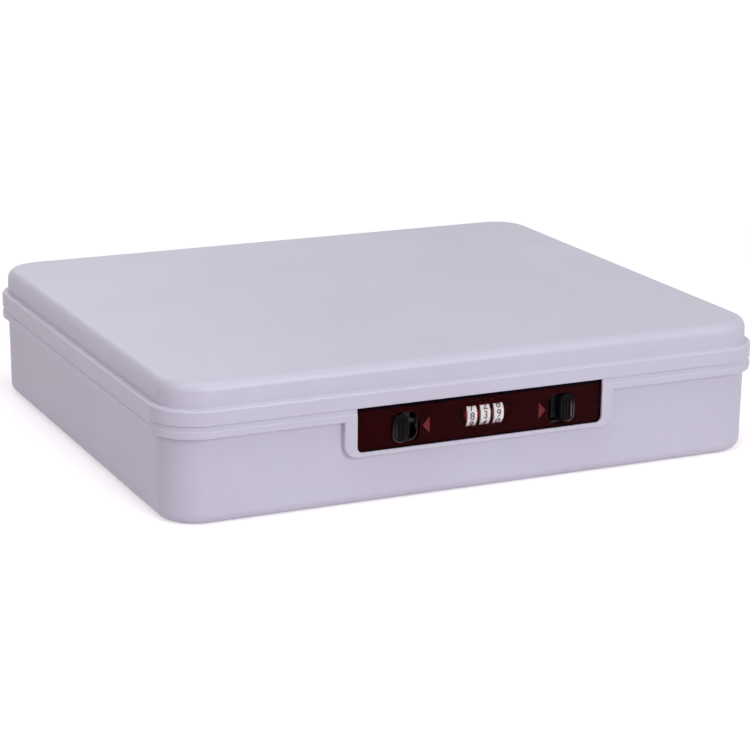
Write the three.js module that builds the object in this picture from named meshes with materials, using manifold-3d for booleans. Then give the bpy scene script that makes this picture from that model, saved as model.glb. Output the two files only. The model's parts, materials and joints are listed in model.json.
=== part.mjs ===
// Medication lock box: a shallow moulded case with a hinged lid and, behind a smoked window in its
// front, a combination lock with three number wheels and two slide latches.
// Millimetres, +Z up, front towards -Y, origin under the middle of the whole box.

import * as THREE from 'three';
import { mergeVertices } from 'three/addons/utils/BufferGeometryUtils.js';
import Module from 'manifold-3d';

const wasm = await Module();
wasm.setup();

// Case: outline and heights
const caseWidth = 320;
const caseDepth = 271.3;
const caseCornerRadius = 23;
const trayHeight = 48.45;
const seamGap = 0.3;
const flangeHeight = 7.15;
const domeHeight = 12.3;

// Tray walls and rim band
const trayWall = 2.6;
const trayFloor = 3;
const trayFootRadius = 5.6;
const trayInnerRadius = 3;
const trayWallInset = 3.1;
const trayDraft = 0.36;
const bandHeight = 6.35;
const bandChamfer = 0.4;
const rimStripHeight = 2.55;
const rimStripInset = 0.45;
const rimChamfer = 0.3;
const ledgeDrop = 3.75;

// Underside: the middle is raised a little, so that the case stands on the ring round it
const footRingWidth = 16;
const footRecess = 0.8;
const footCornerRadius = 8;

// Lid walls, flange and inner lip
const lidWall = 2.65;
const lidTopWall = 2.6;
const lidWallInset = 3.05;
const lidDraft = 0.25;
const lidEdgeRadius = 5;
const lidInnerRadius = 3;
const flangeChamfer = 0.3;
const flangeEdgeRadius = 1.2;
const flangeFillet = 0.7;
const lipDrop = 2.65;
const lipClearance = 0.4;
const lipChamfer = 0.5;

// Gap between pieces that touch on the real box, and the gap round screws and pins
const fitGap = 0.3;

// Hinge at the back
const hingeInset = 65;
const hingeOffset = 4.8;
const knuckleRadius = 4;
const knuckleWebGap = 0.45;
const knuckleRoot = 1;
const trayKnuckleWidth = 12;
const trayKnuckleWeb = 5.9;
const lidKnuckleWidth = 15;
const lidKnuckleWeb = 6.7;
const knuckleGap = 0.5;
const pinRadius = 1.5;
const pinHeadRadius = 2.4;
const pinHeadLength = 1;
const stopLugThickness = 1.6;
const stopLugAngle = -55;

// Window in the front wall, the apron round it, and the lens
const windowWidth = 130.4;
const windowHeight = 21.85;
const windowCornerRadius = 3;
const apronSide = 6.3;
const apronBottom = 2.2;
const apronCornerRadius = 6.5;
const lensRecess = 1.7;
const lensThickness = 1.9;
const lensOverlap = 1.5;
const lensOverlapBottom = 0.6;
const lensTopDrop = 0.45;

// Lock chassis, its ears, cover and screws
const chassisDepth = 13.8;
const chassisFront = 1.2;
const chassisWall = 1.6;
const chassisTopWall = 1.3;
const chassisCornerRadius = 2;
const chassisSideGap = 2.5;
const chassisUnderWindow = 0.2;
const earWidth = 13.5;
const earTopDrop = 3.8;
const earDepth = 6.7;
const earCornerRadius = 3;
const coverThickness = 1.5;
const bossRadius = 3.4;
const bossInset = 6;
const bossLow = 4.6;
const bossHigh = 14.1;
const screwRadius = 1.4;
const screwHeadRadius = 2.7;
const screwHeadHeight = 1.9;
const screwHeadRim = 0.8;
const screwBite = 4;

// Number wheels and the code sleeves inside them
const wheelCount = 3;
const wheelPitch = 7.1;
const wheelWidth = 5.1;
const wheelRadius = 7.4;
const wheelProud = 1.45;
const wheelAxisRise = 10.9;
const wheelBoreRadius = 5.4;
const wheelNotchDepth = 0.4;
const wheelNotchWidth = 1.1;
const digitsPerWheel = 10;
const lockOffset = 1.9;
const splineRadius = 4.75;
const splineWidth = 0.7;
const sleeveRadius = 4.5;
const sleeveBoreRadius = 3.6;
const sleeveWeb = 1.6;
const sleeveKeyWidth = 0.5;
const sleeveKeyHeight = 0.65;
const sleeveKeySpan = 0.8;
const dialSlotHeight = 9.6;
const dialSlotFlare = 2;
const dialWindowHeight = 15;

// Slide latches: lock bars, plates, tongues and buttons
const latchTravel = 5.5;
const latchSpread = 41.7;
const latchDrop = 1.6;
const barRadius = 2.2;
const barSplit = 0.3;
const barEnd = 1.5;
const toothWidth = 1;
const toothDepth = 0.8;
const toothHeight = 0.95;
const keywaySide = 0.25;
const slideThickness = 2;
const slideInner = 6.5;
const slideOuter = 7.5;
const slideHeight = 12;
const slideRise = 0.3;
const slideNotch = 0.7;
const blockInner = 4;
const blockHeight = 6.5;
const tongueHeight = 4;
const tongueChamfer = 0.6;
const tongueReach = 12;
const buttonWidth = 8;
const buttonHeight = 13.8;
const buttonCornerRadius = 3.7;
const buttonFront = 0.7;
const buttonPegRadius = 1.5;
const gripCount = 4;
const gripPitch = 1.5;
const gripGroove = 0.7;
const gripHeight = 9;

// Strikes on the lid
const strikeThickness = 2;
const strikeDepth = 11;
const strikeWidth = 12;
const strikeGap = 0.5;
const strikeNotch = 5.6;
const strikeJaw = 3.6;
const strikeFootLength = 17.5;
const strikeBend = 1.5;
const strikeSlotSide = 1.2;
const strikeBossHeight = 5;
const strikeScrewNear = 7.5;
const strikeScrewFar = 14.5;

// Code reset lever, springs and detents
const codeShift = 0.9;
const leverThickness = 1.2;
const leverRise = 6.2;
const leverTabHeight = 4;
const leverTabReach = 3;
const leverBack = 1.4;
const bearingWall = 1.5;
const springLength = 3.3;
const springWire = 0.5;
const springTurns = 3;
const combThickness = 0.4;
const combFinger = 4;
const combFingerHeight = 9;
const combBaseHeight = 3;
const combBaseSide = 11;
const combRibDepth = 2.4;
const leafThickness = 0.45;
const leafWidth = 1.6;
const leafHalfLength = 5;
const leafFoot = 1.8;
const leafTip = 0.7;
const guideRibHeight = 1.4;

// Fineness of round stretches
const cornerSteps = 4;
const edgeSteps = 4;
const roundSides = 20;
const screwSides = 12;
const curveSteps = 5;
const screwDomeSteps = 3;
const springStepsPerTurn = 12;
const wireSegments = 3;
const mergeTolerance = 1e-5;

// Heights and depths that follow
const bandBottom = trayHeight - bandHeight;
const ledgeHeight = trayHeight - ledgeDrop;
const flangeBottom = trayHeight + seamGap;
const flangeTop = flangeBottom + flangeHeight;
const lidTop = flangeTop + domeHeight;
const lidUnderside = lidTop - lidTopWall;
const lipInset = rimStripInset + trayWall + lipClearance;
const lidInnerInset = lidWallInset + lidWall;
const lipBottom = flangeBottom - lipDrop;
const hingeHeight = trayHeight + seamGap / 2;
const hingeReach = hingeOffset + knuckleRadius;
const windowBottom = trayHeight - windowHeight;
const lensTop = trayHeight - lensTopDrop;
const chassisBottom = windowBottom - chassisUnderWindow;
const chassisStart = lensRecess + lensThickness + fitGap;
const chassisEnd = chassisStart + chassisDepth;
const chassisInside = chassisStart + chassisFront;
const chassisHalf = windowWidth / 2 + lensOverlap + fitGap - chassisSideGap;
const chassisFloor = chassisBottom + chassisWall;
const earHalf = chassisHalf + earWidth;
const earTop = lensTop - earTopDrop;
const earStart = chassisEnd - earDepth;
const coverStart = chassisEnd + fitGap;
const coverEnd = coverStart + coverThickness;
const screwSeat = coverEnd + fitGap;
const bossEnd = earStart - fitGap;
const screwHole = screwRadius + fitGap;
const screwHeights = [chassisBottom + bossLow, chassisBottom + bossHigh];
const wheelDepth = lensRecess - wheelProud + wheelRadius;
const wheelHeight = windowBottom + wheelAxisRise;
const sleeveLength = wheelPitch - fitGap;
const stackHalf = ((wheelCount - 1) * wheelPitch + sleeveLength) / 2;
const latchHeight = wheelHeight - latchDrop;
const latchRest = latchSpread + latchTravel / 2;
const slideStart = chassisInside + fitGap;
const slideEnd = slideStart + slideThickness;
const slideBottom = latchHeight + slideRise - slideHeight / 2;
const slideTop = slideBottom + slideHeight;
const tongueStart = strikeDepth;
const tongueEnd = strikeDepth + strikeThickness;
const strikeOuter = latchRest - tongueReach - strikeGap;
const strikeBottom = wheelHeight - tongueHeight / 2 - strikeGap - strikeJaw;
const strikeTop = lidUnderside - strikeBossHeight - fitGap;
const strikeMiddle = strikeOuter - strikeWidth / 2;
const leverEnd = -stackHalf - fitGap;
const leverStart = leverEnd - leverThickness;
const leftWallEnd = leverStart - fitGap;
const leftWallStart = leftWallEnd - bearingWall;
const springStart = stackHalf + codeShift + fitGap;
const rightWallStart = springStart + springLength + fitGap;
const rightWallEnd = rightWallStart + bearingWall;
const barHole = barRadius + fitGap;
const combStart = wheelDepth + wheelRadius + fitGap;
const combEnd = combStart + combThickness;

// How far a cutter runs past what it cuts, and a joined form into what it grows from
const beyond = 20;
const overrun = 1;

// Turns a closed geometry into a solid for joining and cutting.
function solid(geometry) {
  geometry.deleteAttribute('normal');
  geometry.deleteAttribute('uv');
  const merged = mergeVertices(geometry, mergeTolerance);
  const vertProperties = new Float32Array(merged.attributes.position.array);
  const triVerts = new Uint32Array(merged.index.array);
  return new wasm.Manifold(new wasm.Mesh({ numProp: 3, vertProperties, triVerts }));
}

function join(first, ...others) {
  return others.reduce((sum, other) => sum.add(other), first);
}

function cut(first, ...others) {
  return others.reduce((rest, other) => rest.subtract(other), first);
}

// A named mesh from a finished solid.
function piece(name, shape, material) {
  const { vertProperties, triVerts, numProp } = shape.getMesh();
  const geometry = new THREE.BufferGeometry();
  const points = new THREE.InterleavedBuffer(vertProperties, numProp);
  geometry.setAttribute('position', new THREE.InterleavedBufferAttribute(points, 3, 0));
  geometry.setIndex(new THREE.BufferAttribute(triVerts, 1));
  geometry.computeVertexNormals();
  const mesh = new THREE.Mesh(geometry, material);
  mesh.name = name;
  return mesh;
}

function block(x0, x1, y0, y1, z0, z1) {
  const box = new THREE.BoxGeometry(Math.abs(x1 - x0), Math.abs(y1 - y0), Math.abs(z1 - z0));
  box.translate((x0 + x1) / 2, (y0 + y1) / 2, (z0 + z1) / 2);
  return solid(box);
}

// Flat shapes drawn in X and Z and pulled along Y, or drawn in Y and Z and pulled along X.
function alongY(shape, y0, y1) {
  const options = { depth: y1 - y0, bevelEnabled: false, curveSegments: curveSteps };
  return solid(new THREE.ExtrudeGeometry(shape, options).rotateX(Math.PI / 2).translate(0, y1, 0));
}

function alongX(shape, x0, x1, curveSegments = curveSteps) {
  const options = { depth: Math.abs(x1 - x0), bevelEnabled: false, curveSegments };
  const geometry = new THREE.ExtrudeGeometry(shape, options);
  const toY = new THREE.Vector3(0, 1, 0);
  const toZ = new THREE.Vector3(0, 0, 1);
  const toX = new THREE.Vector3(1, 0, 0);
  geometry.applyMatrix4(new THREE.Matrix4().makeBasis(toY, toZ, toX));
  return solid(geometry.translate(Math.min(x0, x1), 0, 0));
}

function rodX(radius, x0, x1, y, z, sides = roundSides) {
  const rod = new THREE.CylinderGeometry(radius, radius, Math.abs(x1 - x0), sides);
  return solid(rod.rotateZ(Math.PI / 2).translate((x0 + x1) / 2, y, z));
}

function rodY(radius, y0, y1, x, z, sides = screwSides) {
  return solid(new THREE.CylinderGeometry(radius, radius, y1 - y0, sides).translate(x, (y0 + y1) / 2, z));
}

function rodZ(radius, z0, z1, x, y, sides = screwSides) {
  const rod = new THREE.CylinderGeometry(radius, radius, z1 - z0, sides);
  return solid(rod.rotateX(Math.PI / 2).translate(x, y, (z0 + z1) / 2));
}

function polygon(points) {
  return new THREE.Shape(points.map(([a, b]) => new THREE.Vector2(a, b)));
}

// A rectangle with its own radius for the lower and the upper corners.
function panel(left, right, bottom, top, lowerRadius, upperRadius) {
  const shape = new THREE.Shape();
  const quarter = Math.PI / 2;
  shape.absarc(right - upperRadius, top - upperRadius, upperRadius, 0, quarter);
  shape.absarc(left + upperRadius, top - upperRadius, upperRadius, quarter, 2 * quarter);
  shape.absarc(left + lowerRadius, bottom + lowerRadius, lowerRadius, 2 * quarter, 3 * quarter);
  shape.absarc(right - lowerRadius, bottom + lowerRadius, lowerRadius, 3 * quarter, 4 * quarter);
  return shape;
}

// The plan outline of the case, drawn in by an inset, at one height.
function caseOutline({ inset, z, radius = caseCornerRadius - inset }) {
  const halfWidth = caseWidth / 2 - inset;
  const halfDepth = caseDepth / 2 - inset;
  const outline = panel(-halfWidth, halfWidth, -halfDepth, halfDepth, radius, radius);
  return outline.getPoints(cornerSteps).map((point) => new THREE.Vector3(point.x, point.y, z));
}

// Skins the case outline through a list of insets and heights, from the bottom up.
function loft(levels) {
  const rings = levels.map(caseOutline);
  const count = rings[0].length;
  const points = rings.flat();
  const faces = [];
  for (let ring = 0; ring < rings.length - 1; ring += 1) {
    for (let step = 0; step < count; step += 1) {
      const a = ring * count + step;
      const b = ring * count + ((step + 1) % count);
      faces.push(a, b, b + count, a, b + count, a + count);
    }
  }
  const lastRing = (rings.length - 1) * count;
  const bottomCentre = points.push(new THREE.Vector3(0, 0, levels[0].z)) - 1;
  const topCentre = points.push(new THREE.Vector3(0, 0, levels.at(-1).z)) - 1;
  for (let step = 0; step < count; step += 1) {
    const next = (step + 1) % count;
    faces.push(bottomCentre, next, step, topCentre, lastRing + step, lastRing + next);
  }
  return solid(new THREE.BufferGeometry().setFromPoints(points).setIndex(faces));
}

// Quarter rounds for a loft: a bottom edge that opens outward, and a top edge that closes inward.
function bottomRound(inset, z, radius) {
  return Array.from({ length: edgeSteps + 1 }, (_, step) => {
    const turn = (step / edgeSteps) * (Math.PI / 2);
    return { inset: inset + radius * (1 - Math.sin(turn)), z: z + radius * (1 - Math.cos(turn)) };
  });
}

function topRound(inset, z, radius) {
  return Array.from({ length: edgeSteps + 1 }, (_, step) => {
    const turn = (step / edgeSteps) * (Math.PI / 2);
    return { inset: inset + radius * (1 - Math.cos(turn)), z: z - radius * (1 - Math.sin(turn)) };
  });
}

// One hinge knuckle in section: an eye round the axis with a web to the tray below or the lid above.
function knuckleShape(side, webHeight) {
  const shape = new THREE.Shape();
  const lift = Math.asin(knuckleWebGap / knuckleRadius);
  const root = -hingeOffset - knuckleRoot;
  shape.moveTo(root, side * knuckleWebGap);
  if (side > 0) {
    shape.absarc(0, 0, knuckleRadius, Math.PI - lift, 2.5 * Math.PI, false);
  } else {
    shape.absarc(0, 0, knuckleRadius, Math.PI + lift, -0.5 * Math.PI, true);
  }
  shape.lineTo(root, side * webHeight);
  return shape;
}

const hingeDepth = caseDepth / 2 + hingeOffset;
const hingeCentres = [-1, 1].map((side) => side * (caseWidth / 2 - hingeInset));

function knuckle(side, webHeight, x0, x1) {
  return alongX(knuckleShape(side, webHeight), x0, x1).translate([0, hingeDepth, hingeHeight]);
}

const pinHole = () => hingeCentres.map((x) => {
  const reach = lidKnuckleWidth / 2 + knuckleGap + trayKnuckleWidth;
  return rodX(pinRadius + fitGap, x - reach - overrun, x + reach + overrun, hingeDepth, hingeHeight);
});

// Tray: drafted shell with rim band, window, apron, screw bosses and the outer hinge knuckles.
function makeTray() {
  const outer = loft([
    ...bottomRound(trayWallInset + trayDraft, 0, trayFootRadius),
    { inset: trayWallInset, z: bandBottom },
    { inset: bandChamfer, z: bandBottom },
    { inset: 0, z: bandBottom + bandChamfer },
    { inset: 0, z: trayHeight - rimStripHeight },
    { inset: rimStripInset, z: trayHeight - rimStripHeight },
    { inset: rimStripInset, z: trayHeight - rimChamfer },
    { inset: rimStripInset + rimChamfer, z: trayHeight },
  ]);
  const inner = loft([
    ...bottomRound(trayWallInset + trayDraft + trayWall, trayFloor, trayInnerRadius),
    { inset: trayWallInset + trayWall, z: ledgeHeight },
    { inset: rimStripInset + trayWall, z: ledgeHeight },
    { inset: rimStripInset + trayWall, z: trayHeight + beyond },
  ]);
  const footInset = trayWallInset + trayDraft + trayFootRadius + footRingWidth;
  const recess = loft([
    { inset: footInset, z: -beyond, radius: footCornerRadius },
    { inset: footInset, z: 0, radius: footCornerRadius },
    { inset: footInset + footRecess, z: footRecess, radius: footCornerRadius - footRecess },
  ]);
  const front = -caseDepth / 2;
  const half = windowWidth / 2;
  const apronHalf = half + apronSide;
  const wallInside = trayWallInset + trayWall;
  const apronShape = panel(
    -apronHalf, apronHalf, windowBottom - apronBottom, bandBottom + 2 * bandChamfer, apronCornerRadius, 0,
  );
  const apron = alongY(apronShape, front, front + wallInside - fitGap);
  const seatHalf = half + lensOverlap + fitGap;
  const seatBottom = windowBottom - lensOverlapBottom - fitGap;
  const seatRadius = windowCornerRadius + lensOverlapBottom + fitGap;
  const seatDepth = front + lensRecess - fitGap;
  const sight = panel(-half, half, windowBottom, trayHeight + beyond, windowCornerRadius, 0);
  const seat = panel(-seatHalf, seatHalf, seatBottom, trayHeight + beyond, seatRadius, 0);
  const bossX = earHalf - bossInset;
  const bosses = [];
  const holes = [];
  for (const x of [-bossX, bossX]) {
    for (const z of screwHeights) {
      bosses.push(rodY(bossRadius, front + wallInside - overrun, front + bossEnd, x, z));
      holes.push(rodY(screwHole, front + bossEnd - screwBite, front + bossEnd + overrun, x, z));
    }
  }
  const knuckles = [];
  const inside = lidKnuckleWidth / 2 + knuckleGap;
  for (const x of hingeCentres) {
    knuckles.push(knuckle(-1, trayKnuckleWeb, x - inside - trayKnuckleWidth, x - inside));
    knuckles.push(knuckle(-1, trayKnuckleWeb, x + inside, x + inside + trayKnuckleWidth));
  }
  const shell = cut(join(outer, apron), inner, recess);
  const body = join(shell, ...bosses, ...knuckles);
  return cut(
    body,
    alongY(sight, front - beyond, seatDepth),
    alongY(seat, seatDepth, front + bossEnd - screwBite),
    ...holes,
    ...pinHole(),
  );
}

// Lid: flange, ledge and domed edge over an inner lip, with strike bosses and the middle knuckles.
function makeLid() {
  const filletReach = flangeFillet * (1 - Math.SQRT1_2);
  const outer = loft([
    { inset: flangeChamfer, z: flangeBottom },
    { inset: 0, z: flangeBottom + flangeChamfer },
    ...topRound(0, flangeTop, flangeEdgeRadius),
    { inset: lidWallInset - flangeFillet, z: flangeTop },
    { inset: lidWallInset - filletReach, z: flangeTop + filletReach },
    { inset: lidWallInset, z: flangeTop + flangeFillet },
    ...topRound(lidWallInset + lidDraft, lidTop, lidEdgeRadius),
  ]);
  const lip = loft([
    { inset: lipInset + lipChamfer, z: lipBottom },
    { inset: lipInset, z: lipBottom + lipChamfer },
    { inset: lipInset, z: flangeBottom + flangeChamfer },
  ]);
  const cavity = loft([
    { inset: lidInnerInset, z: lipBottom - beyond },
    { inset: lidInnerInset, z: flangeTop },
    ...topRound(lidInnerInset + lidDraft, lidUnderside, lidInnerRadius),
  ]);
  const front = -caseDepth / 2;
  const gateHalf = windowWidth / 2 + lensOverlap + 2 * lipClearance;
  const gateTop = flangeBottom + 2 * flangeChamfer;
  const gate = block(-gateHalf, gateHalf, front, front + strikeDepth, lipBottom - overrun, gateTop);
  const bosses = [];
  const holes = [];
  for (const { x, y } of strikeScrewPlaces()) {
    bosses.push(rodZ(bossRadius, lidUnderside - strikeBossHeight, lidUnderside + fitGap, x, front + y));
    holes.push(rodZ(screwHole, lidUnderside - beyond, lidUnderside - fitGap, x, front + y));
  }
  const knuckles = [];
  const lugs = [];
  const lugReach = hingeOffset + rimStripInset - fitGap;
  const lugRoot = pinRadius + 2 * fitGap;
  for (const x of hingeCentres) {
    const middle = x + lidKnuckleWidth / 2;
    knuckles.push(knuckle(1, lidKnuckleWeb, x - lidKnuckleWidth / 2, middle));
    const lug = new THREE.BoxGeometry(lidKnuckleWidth, lugReach - lugRoot, stopLugThickness);
    lug.translate(x, (lugReach + lugRoot) / 2, 0).rotateX(THREE.MathUtils.degToRad(stopLugAngle));
    lugs.push(solid(lug.translate(0, hingeDepth, hingeHeight)));
  }
  const shell = cut(join(outer, cut(lip, gate)), cavity);
  return cut(join(shell, ...bosses, ...knuckles, ...lugs), ...holes, ...pinHole());
}

// Screw places on the lid's two strikes, across the case and back from its front.
function strikeScrewPlaces() {
  return [-1, 1].flatMap((side) => [strikeScrewNear, strikeScrewFar].map((back) => (
    { x: lockOffset + side * strikeMiddle, y: strikeDepth + back }
  )));
}

// Hinge pin with a small head at its outer end.
function makeHingePin(x, side) {
  const reach = lidKnuckleWidth / 2 + knuckleGap + trayKnuckleWidth;
  const headStart = x + side * (reach + fitGap);
  const shank = rodX(pinRadius, x - side * reach, headStart + side * fitGap, hingeDepth, hingeHeight);
  const head = rodX(pinHeadRadius, headStart, headStart + side * pinHeadLength, hingeDepth, hingeHeight);
  return join(shank, head);
}

// Openings for the two slide buttons, as cutters through lens and chassis.
function buttonOpening(side, y0, y1) {
  const half = (buttonWidth + latchTravel) / 2 + fitGap;
  const centre = lockOffset + side * latchSpread;
  const high = buttonHeight / 2 + fitGap;
  const radius = buttonCornerRadius + fitGap;
  return alongY(
    panel(centre - half, centre + half, latchHeight - high, latchHeight + high, radius, radius), y0, y1,
  );
}

const wheelPlaces = Array.from({ length: wheelCount }, (_, index) => (
  (index - (wheelCount - 1) / 2) * wheelPitch
));

// Smoked window with a flared slot for each wheel and two openings for the buttons.
function makeLens() {
  const half = windowWidth / 2 + lensOverlap;
  const radius = windowCornerRadius + lensOverlapBottom;
  const start = lensRecess;
  const end = lensRecess + lensThickness;
  const sheet = alongY(
    panel(-half, half, windowBottom - lensOverlapBottom, lensTop, radius, 0), start, end,
  );
  const slotHalf = dialSlotHeight / 2;
  const slope = (overrun * dialSlotFlare) / lensThickness;
  const slotSection = polygon([
    [start - overrun, wheelHeight - slotHalf + slope],
    [end + overrun, wheelHeight - slotHalf - dialSlotFlare - slope],
    [end + overrun, wheelHeight + slotHalf + dialSlotFlare + slope],
    [start - overrun, wheelHeight + slotHalf - slope],
  ]);
  const slots = wheelPlaces.map((place) => {
    const side = wheelWidth / 2 + fitGap;
    return alongX(slotSection, lockOffset + place - side, lockOffset + place + side);
  });
  const openings = [-1, 1].map((side) => buttonOpening(side, start - overrun, end + overrun));
  const reliefHalf = stackHalf + codeShift + fitGap;
  const sleeveRelief = rodX(
    sleeveRadius + fitGap, lockOffset - reliefHalf, lockOffset + reliefHalf, wheelDepth, wheelHeight,
  );
  return cut(sheet, ...slots, ...openings, sleeveRelief);
}

// Bearing wall across the chassis: a slot for the lock bars, open to the back for assembly.
function bearing(x0, x1) {
  const wall = block(x0, x1, chassisStart + fitGap, chassisEnd, chassisBottom + fitGap, lensTop - fitGap);
  const hole = rodX(barHole, x0 - overrun, x1 + overrun, wheelDepth, wheelHeight);
  const slot = block(
    x0 - overrun, x1 + overrun, wheelDepth, chassisEnd + overrun,
    wheelHeight - barHole, wheelHeight + barHole,
  );
  return cut(wall, hole, slot);
}

// Lock chassis: an open-backed box with ears, bearing walls, guide ribs and strike slots.
function makeChassis() {
  const radius = chassisCornerRadius;
  const box = alongY(
    panel(-chassisHalf, chassisHalf, chassisBottom, lensTop, radius, radius), chassisStart, chassisEnd,
  );
  const ears = alongY(
    panel(-earHalf, earHalf, chassisBottom, earTop, earCornerRadius, earCornerRadius), earStart, chassisEnd,
  );
  const insideHalf = chassisHalf - chassisWall;
  const insideTop = lensTop - chassisTopWall;
  const inside = block(
    -insideHalf, insideHalf, chassisInside, chassisEnd + overrun, chassisFloor, insideTop,
  );
  const dialHalf = ((wheelCount - 1) * wheelPitch + wheelWidth) / 2 + fitGap;
  const dialWindow = block(
    lockOffset - dialHalf, lockOffset + dialHalf, chassisStart - overrun, chassisInside + fitGap,
    wheelHeight - dialWindowHeight / 2, wheelHeight + dialWindowHeight / 2,
  );
  const strikeSlots = [-1, 1].map((side) => {
    const centre = lockOffset + side * strikeMiddle;
    const half = strikeWidth / 2 + strikeSlotSide;
    return block(
      centre - half, centre + half, strikeDepth - strikeSlotSide, tongueEnd + strikeSlotSide,
      insideTop - overrun, lensTop + overrun,
    );
  });
  const openings = [-1, 1].map((side) => (
    buttonOpening(side, chassisStart - overrun, chassisInside + fitGap)
  ));
  const bossX = earHalf - bossInset;
  const holes = [-bossX, bossX].flatMap((x) => screwHeights.map((z) => (
    rodY(screwHole, earStart - overrun, chassisEnd + overrun, x, z)
  )));
  const guides = [-1, 1].map((side) => {
    const near = lockOffset + side * (latchRest + slideOuter);
    const far = lockOffset + side * (latchRest - latchTravel - slideInner);
    const low = slideTop + fitGap;
    return block(near, far, chassisInside - fitGap, slideEnd + fitGap, low, low + guideRibHeight);
  });
  const combRib = block(
    lockOffset - combBaseSide, lockOffset + combBaseSide, combStart - fitGap - combRibDepth,
    combStart - fitGap, chassisFloor - fitGap, chassisFloor + fitGap + combBaseHeight,
  );
  const stackRelief = rodX(
    sleeveRadius + fitGap, lockOffset + leftWallEnd, lockOffset + rightWallStart, wheelDepth, wheelHeight,
  );
  const shell = cut(join(box, ears), inside, dialWindow, stackRelief, ...strikeSlots, ...holes);
  const left = bearing(lockOffset + leftWallStart, lockOffset + leftWallEnd);
  const right = bearing(lockOffset + rightWallStart, lockOffset + rightWallEnd);
  return cut(join(shell, left, right, ...guides, combRib), ...openings);
}

// Cover: one plate over chassis and ears, with two keepers that close the bearing slots.
function makeCover() {
  const outline = polygon([
    [-earHalf, chassisBottom], [earHalf, chassisBottom], [earHalf, earTop], [chassisHalf, earTop],
    [chassisHalf, lensTop], [-chassisHalf, lensTop], [-chassisHalf, earTop], [-earHalf, earTop],
  ]);
  const plate = alongY(outline, coverStart, coverEnd);
  const bossX = earHalf - bossInset;
  const holes = [-bossX, bossX].flatMap((x) => screwHeights.map((z) => (
    rodY(screwHole, coverStart - overrun, coverEnd + overrun, x, z)
  )));
  const tabHalf = leverTabHeight / 2 + fitGap;
  const leverSlot = block(
    lockOffset + leverStart - fitGap, lockOffset + leverEnd + codeShift + fitGap,
    coverStart - overrun, coverEnd + overrun, wheelHeight - tabHalf, wheelHeight + tabHalf,
  );
  const keeperHalf = barHole - fitGap;
  const keepers = [[leftWallStart, leftWallEnd], [rightWallStart, rightWallEnd]].map(([x0, x1]) => block(
    lockOffset + x0, lockOffset + x1, wheelDepth + barHole + fitGap, coverStart + fitGap,
    wheelHeight - keeperHalf, wheelHeight + keeperHalf,
  ));
  return cut(join(plate, ...keepers), ...holes, leverSlot);
}

// Pan-head screw: a domed head on a shank that ends in a short point, drawn down the Y axis.
function makeScrew(length) {
  const dome = Array.from({ length: screwDomeSteps + 1 }, (_, step) => {
    const turn = (step / screwDomeSteps) * (Math.PI / 2);
    const rise = (screwHeadHeight - screwHeadRim) * Math.sin(turn);
    return [step < screwDomeSteps ? screwHeadRadius * Math.cos(turn) : 0, screwHeadRim + rise];
  });
  const shank = [
    [0, -length], [screwRadius / 2, -length], [screwRadius, screwRadius - length], [screwRadius, 0],
    [screwHeadRadius, 0],
  ];
  const points = [...shank, ...dome].map(([radius, y]) => new THREE.Vector2(radius, y));
  return solid(new THREE.LatheGeometry(points, screwSides));
}

// Number wheel: ten flats with a notch between each two, and an inner spline for the sleeve's keys.
function makeWheel() {
  const step = (2 * Math.PI) / digitsPerWheel;
  const flatRadius = wheelRadius * Math.cos(step / 2);
  const flatHalf = wheelRadius * Math.sin(step / 2) - wheelNotchWidth / 2;
  const reach = Math.hypot(flatRadius, flatHalf);
  const spread = Math.atan2(flatHalf, flatRadius);
  const notchRadius = flatRadius - wheelNotchDepth;
  const corners = Array.from({ length: digitsPerWheel }, (_, digit) => [
    [reach, digit * step - spread], [reach, digit * step + spread], [notchRadius, (digit + 0.5) * step],
  ]);
  const outline = polygon(corners.flat().map(([radius, angle]) => (
    [-radius * Math.cos(angle), radius * Math.sin(angle)]
  )));
  outline.holes.push(new THREE.Path().absarc(0, 0, wheelBoreRadius, 0, 2 * Math.PI));
  const left = -wheelWidth / 2;
  const rim = alongX(outline, left, wheelWidth / 2, roundSides / 2);
  const disc = rodX(wheelBoreRadius + fitGap, left, left + splineWidth, 0, 0);
  const bore = rodX(splineRadius, left - overrun, left + splineWidth + overrun, 0, 0);
  const grooveInner = splineRadius - sleeveKeyHeight;
  const grooves = Array.from({ length: digitsPerWheel }, (_, digit) => {
    const groove = new THREE.BoxGeometry(
      splineWidth + 2 * overrun, sleeveKeySpan + 2 * fitGap, wheelBoreRadius - grooveInner,
    );
    groove.translate(left + splineWidth / 2, 0, (wheelBoreRadius + grooveInner) / 2);
    return solid(groove.rotateX(digit * step));
  });
  return join(rim, cut(disc, bore, ...grooves));
}

// Code sleeve: a tube with a web inside. The web's gate lets both lock bars' teeth pass together.
function makeSleeve() {
  const half = sleeveLength / 2;
  const web = sleeveWeb / 2;
  const loop = [
    [sleeveBoreRadius, -half], [sleeveRadius, -half], [sleeveRadius, half], [sleeveBoreRadius, half],
    [sleeveBoreRadius, web], [barHole, web], [barHole, -web], [sleeveBoreRadius, -web],
    [sleeveBoreRadius, -half],
  ];
  const points = loop.map(([radius, y]) => new THREE.Vector2(radius, y));
  const tube = solid(new THREE.LatheGeometry(points, roundSides).rotateZ(Math.PI / 2));
  const gateHalf = toothDepth + barSplit / 2 + keywaySide;
  const gate = block(-sleeveWeb, sleeveWeb, -gateHalf, gateHalf, -sleeveBoreRadius, 0);
  const keyCentre = (splineWidth - wheelWidth) / 2;
  const keyHalf = sleeveKeyWidth / 2;
  const keyReach = sleeveRadius + sleeveKeyHeight;
  const keys = [-1, 1].map((side) => block(
    keyCentre - keyHalf, keyCentre + keyHalf, -sleeveKeySpan / 2, sleeveKeySpan / 2,
    side * (sleeveRadius - fitGap), side * keyReach,
  ));
  return join(cut(tube, gate), ...keys);
}

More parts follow.
